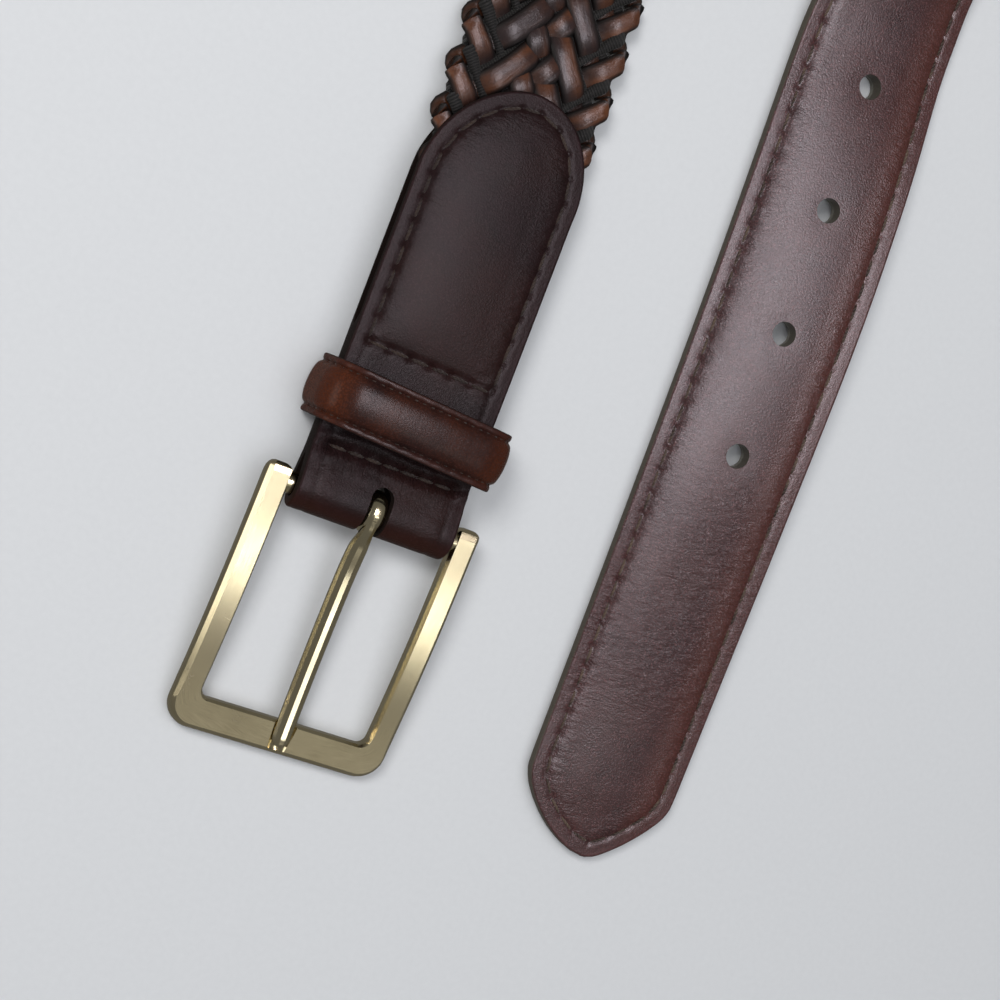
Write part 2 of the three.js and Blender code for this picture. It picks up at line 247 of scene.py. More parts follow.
def grid_faces(rows: int, columns: int, around: bool = False, along: bool = False) -> Array:
    """Four-sided faces between rows of points.

    Args:
        rows: how many rows there are.
        columns: how many points a row has.
        around: whether the last column joins the first.
        along: whether the last row joins the first.

    Returns:
        The faces, as indices of the points.
    """
    r = np.arange(rows if along else rows - 1)[:, None]
    c = np.arange(columns if around else columns - 1)[None, :]
    next_r, next_c = (r + 1) % rows, (c + 1) % columns
    corners = [r * columns + c, r * columns + next_c, next_r * columns + next_c, next_r * columns + c]
    return np.stack([np.broadcast_to(k, (r.size, c.size)) for k in corners], axis=-1).reshape(-1, 4)


def tube_faces(rows: int, columns: int, start: int = 0) -> list:
    """The faces of a closed tube of rings, both ends included, whose points begin at an index."""
    faces = (grid_faces(rows, columns, around=True) + start).tolist()
    for first in (start, start + (rows - 1) * columns):
        faces.append(list(range(first, first + columns)))
    return faces


def mesh_object(
    name: str,
    points: Array,
    faces: list,
    fields: dict[str, Array] | None = None,
    sharp: float = SHARP_ANGLE,
) -> bpy.types.Object:
    """A smooth-shaded object of points in millimetres.

    Args:
        name: the piece's name.
        points: its points.
        faces: its faces, each a list of indices.
        fields: vector attributes by name, for its finish.
        sharp: edges that bend more than this many degrees stay sharp.

    Returns:
        The object, linked to the scene.
    """
    mesh = bpy.data.meshes.new(name)
    mesh.from_pydata((points.reshape(-1, 3) * MM).tolist(), [], faces)
    corners = np.zeros(len(mesh.loops), int)
    mesh.loops.foreach_get("vertex_index", corners)
    for label, values in (fields or {}).items():
        kept = mesh.attributes.new(label, "FLOAT_VECTOR", "CORNER")
        kept.data.foreach_set("vector", values.reshape(-1, 3)[corners].astype(np.float32).ravel())
    made = bpy.data.objects.new(name, mesh)
    bpy.context.scene.collection.objects.link(made)
    tidy_normals(made, sharp)
    return made


def tidy_normals(piece: bpy.types.Object, sharp: float) -> None:
    """Turns the faces outwards and shades them smooth up to an angle in degrees."""
    work = bmesh.new()
    work.from_mesh(piece.data)
    bmesh.ops.recalc_face_normals(work, faces=work.faces)
    work.to_mesh(piece.data)
    work.free()
    piece.data.shade_smooth()
    piece.data.set_sharp_from_angle(angle=math.radians(sharp))


def tube_mesh(lines: list[Array], radius: float, sides: int = 6) -> tuple[Array, list, Array]:
    """Closed round tubes along lines of points.

    Args:
        lines: each tube's points, in millimetres, with the same count in each.
        radius: the tubes' radius, which narrows at both ends.
        sides: how many sides a tube has.

    Returns:
        The points, the faces and, for each point, its way along, way round and tube number.
    """
    points, faces, marks = [], [], []
    angle = angles_round(sides)
    for number, line in enumerate(lines):
        way = unit(np.gradient(line, axis=0))
        side = unit(np.cross(way, [0.31, 0.22, 0.93]))
        up = np.cross(side, way)
        count = len(line)
        taper = np.sqrt(np.clip(np.minimum(np.arange(count), np.arange(count)[::-1]) / 1.5, 0.12, 1))
        ring = (
            line[:, None]
            + side[:, None] * (np.cos(angle)[None, :, None] * radius * taper[:, None, None])
            + up[:, None] * (np.sin(angle)[None, :, None] * radius * taper[:, None, None])
        )
        start = sum(len(p) for p in points)
        points.append(ring.reshape(-1, 3))
        faces += tube_faces(count, sides, start)
        mark = np.zeros((count, sides, 3))
        mark[..., 0], mark[..., 1], mark[..., 2] = run_along(line)[:, None], angle[None, :], number
        marks.append(mark.reshape(-1, 3))
    return np.concatenate(points), faces, np.concatenate(marks)


def combine(piece: bpy.types.Object, how: Solid, other: bpy.types.Object) -> None:
    """Joins a closed mesh to a piece, or cuts it out, and removes it."""
    change = piece.modifiers.new("combine", "BOOLEAN")
    change.operation, change.object, change.solver = how.value, other, "MANIFOLD"
    apply_modifiers(piece)
    bpy.data.objects.remove(other)


def apply_modifiers(piece: bpy.types.Object) -> None:
    """Bakes a piece's modifiers into its mesh."""
    seen = piece.evaluated_get(bpy.context.evaluated_depsgraph_get())
    mesh = bpy.data.meshes.new_from_object(seen)
    piece.modifiers.clear()
    piece.data = mesh


def prism(outline: Array, low: Array, high: Array) -> bpy.types.Object:
    """A closed straight solid between two copies of an outline, used as a cutter.

    Args:
        outline: offsets of the outline's points, one a row.
        low: where one end lies.
        high: where the other end lies.

    Returns:
        The cutter.
    """
    count = len(outline)
    points = np.concatenate([outline + low, outline + high])
    faces = [[k, (k + 1) % count, count + (k + 1) % count, count + k] for k in range(count)]
    faces += [list(range(count)), list(range(count, 2 * count))]
    return mesh_object("cutter", points, faces)


class Wire:
    """A shader value that takes part in Python arithmetic by adding Math nodes."""

    def __init__(self, board: "Board", socket: bpy.types.NodeSocket) -> None:
        """Wraps one output socket of a board's node."""
        self.board, self.socket = board, socket

    def join(self, operation: str, *others: "Wire | float", first: bool = True) -> "Wire":
        """A Math node of this value and others.

        Args:
            operation: the node's operation.
            others: the other operands.
            first: whether this value is the first operand.

        Returns:
            The result.
        """
        operands = [self, *others] if first else [*others, self]
        return self.board.node("ShaderNodeMath", {"operation": operation}, *operands).out(0)

    def __add__(self, other: "Wire | float") -> "Wire":
        """Sum."""
        return self.join("ADD", other)

    def __sub__(self, other: "Wire | float") -> "Wire":
        """Difference."""
        return self.join("SUBTRACT", other)

    def __mul__(self, other: "Wire | float") -> "Wire":
        """Product."""
        return self.join("MULTIPLY", other)

    def __rsub__(self, other: float) -> "Wire":
        """A number less this value."""
        return self.join("SUBTRACT", other, first=False)

    __radd__ = __add__
    __rmul__ = __mul__

    def step(self, low: float, high: float) -> "Wire":
        """A smooth step from 0 at low to 1 at high."""
        settings = {"interpolation_type": "SMOOTHSTEP"}
        return self.board.node("ShaderNodeMapRange", settings, self, low, high).out("Result")

    def bell(self, middle: float, width: float) -> "Wire":
        """1 at the middle value, falling to 0 on both sides of it."""
        return 1 - (self - middle).join("ABSOLUTE").step(0.0, width)


class Placed:
    """A node that has been added, with its sockets."""

    def __init__(self, board: "Board", node: bpy.types.Node) -> None:
        """Wraps a node of a board."""
        self.board, self.node = board, node

    def out(self, socket: str | int) -> Wire:
        """One of the node's outputs."""
        return Wire(self.board, self.node.outputs[socket])


class Board:
    """A material's node tree while it is being wired."""

    def __init__(self, name: str) -> None:
        """Starts an empty material."""
        self.material = bpy.data.materials.new(name)
        self.material.use_nodes = True
        self.tree = self.material.node_tree
        self.tree.nodes.clear()

    def node(self, kind: str, settings: dict | None = None, *values: object, **named: object) -> Placed:
        """Adds a node.

        Args:
            kind: the node's type.
            settings: its settings, set before its sockets.
            values: values or wires of its inputs, in order; None leaves one alone.
            named: values or wires of inputs by name, with _ for a space.

        Returns:
            The node.
        """
        made = self.tree.nodes.new(kind)
        for key, value in (settings or {}).items():
            setattr(made, key, value)
        pairs = list(zip([socket for socket in made.inputs if socket.enabled], values))
        pairs += [(made.inputs[key.replace("_", " ")], value) for key, value in named.items()]
        for socket, value in pairs:
            if isinstance(value, Wire):
                self.tree.links.new(value.socket, socket)
            elif value is not None:
                socket.default_value = value
        return Placed(self, made)

    def mix(self, share: Wire | float, first: object, second: object) -> Wire:
        """A colour between two colours."""
        colours = [v if isinstance(v, Wire) else (*v, 1.0) for v in (first, second)]
        settings = {"data_type": "RGBA", "clamp_factor": True}
        return self.node("ShaderNodeMix", settings, share, *colours).out(2)

    def place(self) -> Wire:
        """The place on the object in millimetres."""
        at = self.node("ShaderNodeTexCoord").out("Object")
        settings = {"operation": "MULTIPLY"}
        return self.node("ShaderNodeVectorMath", settings, at, [MM_IN_A_METRE] * 3).out(0)

    def field(self, name: str) -> Wire:
        """A vector attribute of the mesh."""
        return self.node("ShaderNodeAttribute", {"attribute_name": name}).out("Vector")

    def parts(self, vector: Wire) -> tuple[Wire, Wire, Wire]:
        """A vector's three numbers."""
        made = self.node("ShaderNodeSeparateXYZ", None, vector)
        return made.out(0), made.out(1), made.out(2)

    def vector(self, x: object, y: object, z: object) -> Wire:
        """A vector of three numbers."""
        return self.node("ShaderNodeCombineXYZ", None, x, y, z).out(0)

    def noise(self, at: Wire, scale: float, detail: float = 2.0, rough: float = 0.5) -> Wire:
        """Smooth noise between 0 and 1."""
        sockets = {"Vector": at, "Scale": scale, "Detail": detail, "Roughness": rough}
        return self.node("ShaderNodeTexNoise", None, **sockets).out(0)

    def cells(self, at: Wire, scale: float, feature: str = "F1") -> Wire:
        """The distance to the nearest cell centre, or to the cells' edges."""
        settings = {"feature": feature}
        return self.node("ShaderNodeTexVoronoi", settings, Vector=at, Scale=scale).out("Distance")

    def relief(self, height: Wire) -> Wire:
        """A normal bent by a height in millimetres."""
        return self.node("ShaderNodeBump", None, Strength=1.0, Distance=MM, Height=height).out(0)

    def finish(self, constants: dict, **driven: Wire) -> bpy.types.Material:
        """Adds the shader and the output.

        Args:
            constants: the shader's plain values by socket name.
            driven: the wires of what changes over the surface.

        Returns:
            The material.
        """
        shader = self.tree.nodes.new("ShaderNodeBsdfPrincipled")
        for key, value in constants.items():
            shader.inputs[key].default_value = value
        for key, value in driven.items():
            self.tree.links.new(value.socket, shader.inputs[key.replace("_", " ")])
        end = self.tree.nodes.new("ShaderNodeOutputMaterial")
        self.tree.links.new(shader.outputs[0], end.inputs["Surface"])
        return self.material


@dataclass(frozen=True)
class Hide:
    """The wires that a leather's colour and relief are worked from."""

    along: Wire
    across: Wire
    rim: Wire
    at: Wire
    mottle: Wire
    fine: Wire
    pebble: Wire


@dataclass(frozen=True)
class BridleLeather:
    """Polished dyed leather: pebbled grain, mottled dye, dark edge paint and puckers, with painted glints,
    painted sheen on the flat band outside the seam and painted shade along it.

    Scales are in features a millimetre, heights in millimetres.
    """

    name: str
    # The defaults below are the tab's colours, darker than the tip's of the same leather: painted shade.
    base: tuple = (0.017, 0.0074, 0.0088)
    deep: tuple = (0.009, 0.0045, 0.0045)
    warm: tuple = (0.046, 0.0145, 0.009)
    edge: tuple = (0.012, 0.008, 0.007)
    warmth: float = 0.45
    warm_ends: float = 0.0
    red_side: float = 0.0
    fold_end: float = -4.2
    glint_paint: float = 0.25
    roughness: float = 0.40
    gloss: float = 0.09
    coat: float = 0.06
    seam: float = 3.1
    grain: float = 0.030
    fan: float = 0.30
    gathers: float = 0.0
    gather_height: float = 1.1
    creases: float = 0.0
    crease_range: tuple = (20.0, 120.0)
    cloud_scale: float = 0.05
    mottle_scale: float = 0.22
    fine_scale: float = 3.6
    pebble_scale: float = 2.7
    pore_scale: float = 6.0
    glint_scale: float = 2.9

    def make(self) -> bpy.types.Material:
        """The leather's material, which reads the belt attribute: along, across, from the edge."""
        board = Board(self.name)
        at = board.place()
        hide = Hide(
            *board.parts(board.field("belt")),
            at=at,
            mottle=board.noise(at, self.mottle_scale, 3.0, 0.55),
            fine=board.noise(at, self.fine_scale, 3.0, 0.6),
            pebble=board.cells(at, self.pebble_scale),
        )
        colour = self.wear_and_painted_light(board, hide, self.dyed(board, hide))
        constants = {
            "Coat Weight": self.coat, "Coat Roughness": 0.26, "Specular IOR Level": self.gloss,
            "Sheen Weight": 0.008, "Sheen Roughness": 0.45, "Sheen Tint": (0.86, 0.80, 0.9, 1),
        }
        normal = board.relief(self.height(board, hide))
        return board.finish(constants, Base_Color=colour, Roughness=self.dullness(hide), Normal=normal)

    def dyed(self, board: Board, hide: Hide) -> Wire:
        """The dye: mottled and clouded, warmer at the keeper's ends or along the strap's one side."""
        cloud = board.noise(hide.at, self.cloud_scale, 2.0, 0.5).step(0.36, 0.7)
        colour = board.mix(hide.mottle.step(0.15, 0.75), self.deep, self.base)
        colour = board.mix(cloud * self.warmth, colour, self.warm)
        if self.warm_ends:
            ends = hide.across.join("ABSOLUTE").step(self.warm_ends - 4.0, self.warm_ends + 3.0)
            colour = board.mix(ends * 0.85, colour, self.warm)
        if self.red_side:
            side = hide.across.step(self.red_side * 0.35, self.red_side * 0.85)
            colour = board.mix(side * 0.75, colour, self.warm)
        return colour

    def wear_and_painted_light(self, board: Board, hide: Hide, colour: Wire) -> Wire:
        """The colour after use and finishing, with painted sheen, shade and glints laid over it.

        Args:
            board: the board that it is wired on.
            hide: the leather's wires.
            colour: the dyed colour.

        Returns:
            The colour with the flat band outside the seam lighter as painted sheen, the seam darker as
            painted shade, darker grain valleys, pale specks as painted glints, rim wear and the dark edge
            paint.
        """
        # The flat band outside the seam is lightened: painted sheen.
        margin_sheen = 1 - hide.rim.step(self.seam - 0.5, self.seam - 0.1)
        colour = board.mix(margin_sheen * 0.45, colour, tuple(1.15 * k for k in self.base))
        # Darker along the stitch groove and its puckers: painted shade.
        colour = board.mix(hide.rim.bell(self.seam, 0.6) * 0.3, colour, self.deep)
        colour = board.mix(hide.pebble.step(0.32, 0.62) * 0.40, colour, self.deep)
        # Pale specks over the grain: painted glints.
        speck = board.noise(hide.at, self.glint_scale, 2.0, 0.75).step(0.53, 0.66)
        colour = board.mix(speck * self.glint_paint, colour, tuple(3.0 * k + 0.008 for k in self.base))
        wear_and_highlight = hide.rim.bell(0.62, 0.5) * hide.mottle.step(0.42, 0.62)
        colour = board.mix(wear_and_highlight * 0.35, colour, tuple(2.2 * k for k in self.base))
        colour = board.mix(1 - hide.rim.step(0.02, 0.22), colour, self.edge)
        if self.gathers:
            colour = board.mix((1 - hide.along.step(self.fold_end, 0.5)) * 0.6, colour, self.warm)
        return colour

    def height(self, board: Board, hide: Hide) -> Wire:
        """The grain, the fan of fine wrinkles along the seam, the gathers and the cross creases."""
        pores = board.cells(hide.at, self.pore_scale)
        height = hide.pebble * -self.grain + pores * -self.grain * 0.35 + hide.fine * self.grain * 0.9
        height = height + hide.mottle * 0.03
        rays = board.vector(hide.along * 0.8, hide.across * 0.30, hide.rim * 0.05)
        fan = board.noise(rays, 1.0, 3.0, 0.6)
        height = height + fan * hide.rim.bell(self.seam + 1.6, 4.2) * self.fan
        if self.gathers:
            pulled = board.noise(board.vector(hide.across * 0.9, hide.along * 0.28, 0.0), 1.0, 4.0, 0.65)
            height = height + pulled * hide.along.bell(self.gathers, 5.0) * self.gather_height
        if self.creases:
            stretch = board.vector(hide.along * 0.80, hide.across * 0.22, hide.rim * 0.02)
            wave = board.noise(stretch, 1.0, 4.0, 0.65)
            low, high = self.crease_range
            where = hide.along.step(low, low + 14) * (1 - hide.along.step(high - 26, high))
            height = height + wave * where * self.creases
        return height

    def dullness(self, hide: Hide) -> Wire:
        """The roughness: uneven, higher in the grain's valleys and on the cut edge."""
        rough = hide.mottle * 0.12 + hide.fine * 0.10 + (self.roughness - 0.10)
        rough = rough + hide.pebble.step(0.32, 0.62) * 0.06
        return rough + (1 - hide.rim.step(0.05, 0.4)) * 0.18


@dataclass(frozen=True)
class LacingLeather:
    """The braid's narrow strips: purple-brown and tan with painted highlight streaks, glossy on the crown,
    dark at the edges, with painted shade between the strips and where they run under.
    """

    name: str = "braid_strips"
    plum: tuple = (0.026, 0.014, 0.014)
    tan: tuple = (0.120, 0.038, 0.013)
    black: tuple = (0.005, 0.004, 0.004)
    spot: tuple = (0.018, 0.008, 0.007)
    # The pale streaks' colour: a painted highlight.
    wear_and_highlight: tuple = (0.11, 0.074, 0.066)

    def make(self) -> bpy.types.Material:
        """The strips' material, which reads strand (along, across -1 to 1, turn) and weave (u, h, number)."""
        board = Board(self.name)
        along, across, turn = board.parts(board.field("strand"))
        place, height, number = board.parts(board.field("weave"))
        at = board.place()
        line = board.vector(along * 0.085, across * 0.45, number * 7.3)
        patch = board.noise(line, 1.0, 2.0, 0.5).step(0.44, 0.66)
        outer = place.join("ABSOLUTE").step(9.5, 13.5)
        streak = board.noise(board.vector(along * 0.16, across * 3.4, number * 3.1), 1.0, 4.0, 0.65)
        grain = board.noise(at, 2.6, 3.0, 0.65)
        speck = board.noise(at, 1.1, 4.0, 0.7)
        share = (patch * 0.70 + outer * 0.75) * (1 - turn * 0.1)
        colour = board.mix(share, self.plum, self.tan)
        colour = board.mix(speck.step(0.5, 0.72) * 0.55, colour, self.spot)
        # Pale streaks along the strips: painted highlight.
        colour = board.mix(streak.step(0.54, 0.74) * 0.42, colour, self.wear_and_highlight)
        # Dark edges: the strips' own dark cut edges, and painted shade between neighbouring strips.
        rim = across.join("ABSOLUTE").step(0.44, 0.92)
        colour = board.mix(rim * 0.96, colour, self.black)
        # Darker where a strip lies low in the weave: painted shade under the strips over it.
        under = 1 - height.step(-0.6, 0.9)
        colour = board.mix(under * 0.55, colour, self.black)
        rough = 0.22 + grain * 0.22 + rim * 0.2
        bumps = grain * 0.05 + speck * 0.05 + streak * 0.12
        constants = {"Coat Weight": 0.12, "Coat Roughness": 0.20, "Specular IOR Level": 0.42}
        return board.finish(constants, Base_Color=colour, Roughness=rough, Normal=board.relief(bumps))


@dataclass(frozen=True)
class RibbedCord:
    """The black waxed cord between the strips, with ribs across it."""

    name: str = "braid_cord"
    rib: float = 0.52
    dark: tuple = (0.002, 0.002, 0.002)
    light: tuple = (0.017, 0.015, 0.014)

    def make(self) -> bpy.types.Material:
        """The cord's material, which reads strand (along, across, turn)."""
        board = Board(self.name)
        along, across, _ = board.parts(board.field("strand"))
        wave = (along * (2 * math.pi / self.rib) + across * 0.8).join("SINE")
        fuzz = board.noise(board.place(), 3.5, 3.0, 0.7)
        share = wave * 0.3 + fuzz * 0.6
        colour = board.mix(share.step(0.0, 0.75), self.dark, self.light)
        height = wave * 0.06 + fuzz * 0.04
        rough = 0.52 + fuzz * 0.25
        constants = {"Specular IOR Level": 0.4, "Sheen Weight": 0.1}
        return board.finish(constants, Base_Color=colour, Roughness=rough, Normal=board.relief(height))


@dataclass(frozen=True)
class SuedeLining:
    """The grey-brown split leather under the punched end."""

    name: str = "tip_lining"
    base: tuple = (0.070, 0.060, 0.048)
    cut_edge: tuple = (0.10, 0.094, 0.074)

    def make(self) -> bpy.types.Material:
        """The lining's material."""
        board = Board(self.name)
        at = board.place()
        _, _, rim = board.parts(board.field("belt"))
        nap = board.noise(at, 2.4, 4.0, 0.7)
        cloud = board.noise(at, 0.09, 3.0, 0.6)
        colour = board.mix(cloud.step(0.3, 0.7), tuple(0.62 * k for k in self.base), self.base)
        colour = board.mix(nap.step(0.45, 0.8) * 0.5, colour, tuple(1.6 * k for k in self.base))
        colour = board.mix(1 - rim.step(0.02, 0.5), colour, self.cut_edge)
        rough = 0.62 + nap * 0.25
        bumps = nap * 0.09 + board.cells(at, 1.3) * -0.03
        constants = {"Sheen Weight": 0.2, "Sheen Roughness": 0.6, "Specular IOR Level": 0.3}
        return board.finish(constants, Base_Color=colour, Roughness=rough, Normal=board.relief(bumps))


@dataclass(frozen=True)
class WaxedThread:
    """Twisted sewing thread, dark, with tan patches and lighter along the twist's crowns."""

    name: str
    dark: tuple = (0.014, 0.007, 0.0055)
    light: tuple = (0.040, 0.023, 0.016)

    def make(self) -> bpy.types.Material:
        """The thread's material, which reads strand (along, round, number)."""
        board = Board(self.name)
        along, around, number = board.parts(board.field("strand"))
        twist = (along * 7.2 + around * 2.0).join("SINE")
        tint = board.noise(board.vector(number * 0.37, along * 0.2, 0.0), 1.0, 1.0)
        share = twist * 0.22 + tint.step(0.35, 0.65) * 0.6 + 0.2
        colour = board.mix(share, self.dark, self.light)
        constants = {"Specular IOR Level": 0.35, "Sheen Weight": 0.15}
        rough = 0.50 + tint * 0.25
        return board.finish(constants, Base_Color=colour, Roughness=rough, Normal=board.relief(twist * 0.04))


@dataclass(frozen=True)
class SatinBrass:
    """Pale gold plate: lapped faces with fine lines along them, polished edges and small scratches."""

    name: str
    gold: tuple = (0.74, 0.655, 0.44)
    olive: tuple = (0.55, 0.465, 0.285)
    dusty: tuple = (0.36, 0.29, 0.16)
    lined: tuple = (0.42, 0.355, 0.22)
    scratched: tuple = (0.86, 0.80, 0.64)
    roughness: float = 0.20
    brushed: float = 1.0

    def make(self) -> bpy.types.Material:
        """The plate's material, which reads bar (along, across, face)."""
        board = Board(self.name)
        along, across, face = board.parts(board.field("bar"))
        hair = board.noise(board.vector(along * 0.18, across * 14.0, 0.0), 1.0, 3.0, 0.6)
        haze = board.noise(board.place(), 0.14, 3.0, 0.6)
        dust = board.noise(board.place(), 2.2, 4.0, 0.7)
        nicks = board.cells(board.vector(along * 0.5, across * 1.1, 0.0), 0.55, "DISTANCE_TO_EDGE")
        scratch = (1 - nicks.step(0.0, 0.012)) * haze.step(0.52, 0.66) * face
        colour = board.mix(haze.step(0.30, 0.70) * 0.3, self.gold, self.olive)
        colour = board.mix(dust.step(0.6, 0.85) * 0.25, colour, self.dusty)
        colour = board.mix(hair.step(0.35, 0.7) * 0.28 * self.brushed, colour, self.lined)
        colour = board.mix(scratch * 0.12, colour, self.scratched)
        rough = hair * 0.10 * self.brushed + haze * 0.07 + (self.roughness - 0.10)
        rough = rough + face * 0.02 + scratch * 0.12
        lines = hair * 0.0013 * self.brushed + dust * 0.0002 - scratch * 0.0015
        constants = {"Metallic": 1.0, "Anisotropic": 0.35 * self.brushed}
        return board.finish(constants, Base_Color=colour, Roughness=rough, Normal=board.relief(lines))


@dataclass(frozen=True)
class PaleFloor:
    """A plain pale surface with the faintest tooth."""

    name: str = "floor"
    low: tuple = (0.68, 0.70, 0.73)
    high: tuple = (0.72, 0.74, 0.77)

    def make(self) -> bpy.types.Material:
        """The floor's material."""
        board = Board(self.name)
        tooth = board.noise(board.place(), 0.8, 2.0)
        colour = board.mix(tooth, self.low, self.high)
        rough = 0.6 + tooth * 0.1
        return board.finish({"Specular IOR Level": 0.3}, Base_Color=colour, Roughness=rough)


@dataclass
class Stitching:
    """Rows of sewn stitches on a leather face."""

    thread_radius: float = 0.30
    dip: float = 0.42
    samples: int = 8
    runs: list = field(default_factory=list)

    def add(self, holes: Array, place: object, closed: bool = False, rise: float = 0.13) -> None:
        """Sews one row.

        Args:
            holes: the needle holes in the face's own two coordinates, one a row.
            place: a function from two coordinates and a height over the face to points.
            closed: whether the row joins up with its start.
            rise: how far a stitch stands over the face.
        """
        ends = np.roll(holes, -1, axis=0) if closed else holes[1:]
        t = np.linspace(0, 1, self.samples)
        for a, b in zip(holes, ends):
            seen = a + (b - a) * (0.06 + 0.88 * t)[:, None]
            arch = np.clip(np.sin(math.pi * t), 0, 1) ** 0.5
            self.runs.append(place(seen[:, 0], seen[:, 1], -self.dip + (self.dip + rise) * arch))

    def build(self, name: str, finish: bpy.types.Material, body: Body, slot: str) -> bpy.types.Object:
        """The stitches as one piece.

        Args:
            name: the piece's name.
            finish: the thread's material.
            body: the body that it rides on.
            slot: the record's slot.

        Returns:
            The piece.
        """
        points, faces, marks = tube_mesh(self.runs, self.thread_radius)
        made = mesh_object(name, points, faces, {"strand": marks}, sharp=60)
        return dress(made, finish, body, slot)


def dress(
    piece: bpy.types.Object, finish: bpy.types.Material, body: Body, slot: str, *stands_for: str
) -> bpy.types.Object:
    """Gives a piece its finish and its place among the CAD's bodies.

    Args:
        piece: the piece.
        finish: its material.
        body: the body that it rides on.
        slot: not used.
        stands_for: the CAD nodes that it replaces.

    Returns:
        The piece.
    """
    piece.data.materials.clear()
    piece.data.materials.append(finish)
    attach(piece, body.value)
    if stands_for:
        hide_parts(*stands_for)
    LOG.info("%s: %d faces on %s", piece.name, len(piece.data.polygons), body.value)
    return piece


def inset_line(outline: Array, inset: float) -> Array:
    """A line inside an outline, at one distance from it.

    Args:
        outline: the outline's points in order, with its inside on the side of more u.
        inset: the distance.

    Returns:
        The line's points.
    """
    way = unit(np.gradient(outline, axis=0))
    moved = outline + np.stack([-way[:, 1], way[:, 0]], axis=1) * inset
    return moved[distance_to(moved, outline) > inset - 0.03]


def pucker(points: Array, holes: Array, depth: float, size: float) -> Array:
    """How deep the needle holes pull a face in, at each of its points.

    Args:
        points: places on the face, the last axis holding two numbers.
        holes: the needle holes, one a row.
        depth: how deep a hole pulls.
        size: how wide its dimple is.

    Returns:
        The depths.
    """
    deep = np.zeros(points.shape[:-1])
    for hole in holes:
        deep += depth * bell(np.hypot(points[..., 0] - hole[0], points[..., 1] - hole[1]), size)
    return deep


def columns_across(count: int) -> Array:
    """Places across a strap from -1 to 1, closer together at both edges."""
    even = np.linspace(-1, 1, count)
    edge = np.array([0.006, 0.018, 0.034])
    return np.unique(np.concatenate([even, 1 - edge, edge - 1]))


def rounding(rim: Array, radius: float) -> Array:
    """How far a rounded edge falls, by the distance from the rim."""
    near = np.clip(radius - rim, 0, radius)
    return radius - np.sqrt(np.maximum(radius**2 - near**2, 0))


def sheet_faces(rows: int, columns: int) -> list:
    """The faces of a closed sheet whose rows hold its top and then its under side, turned back."""
    faces = grid_faces(rows, 2 * columns, around=True).tolist()
    for start in (0, (rows - 1) * 2 * columns):
        for k in range(columns - 1):
            a, b = start + k, start + 2 * columns - 1 - k
            faces.append([a, a + 1, b - 1, b])
    return faces


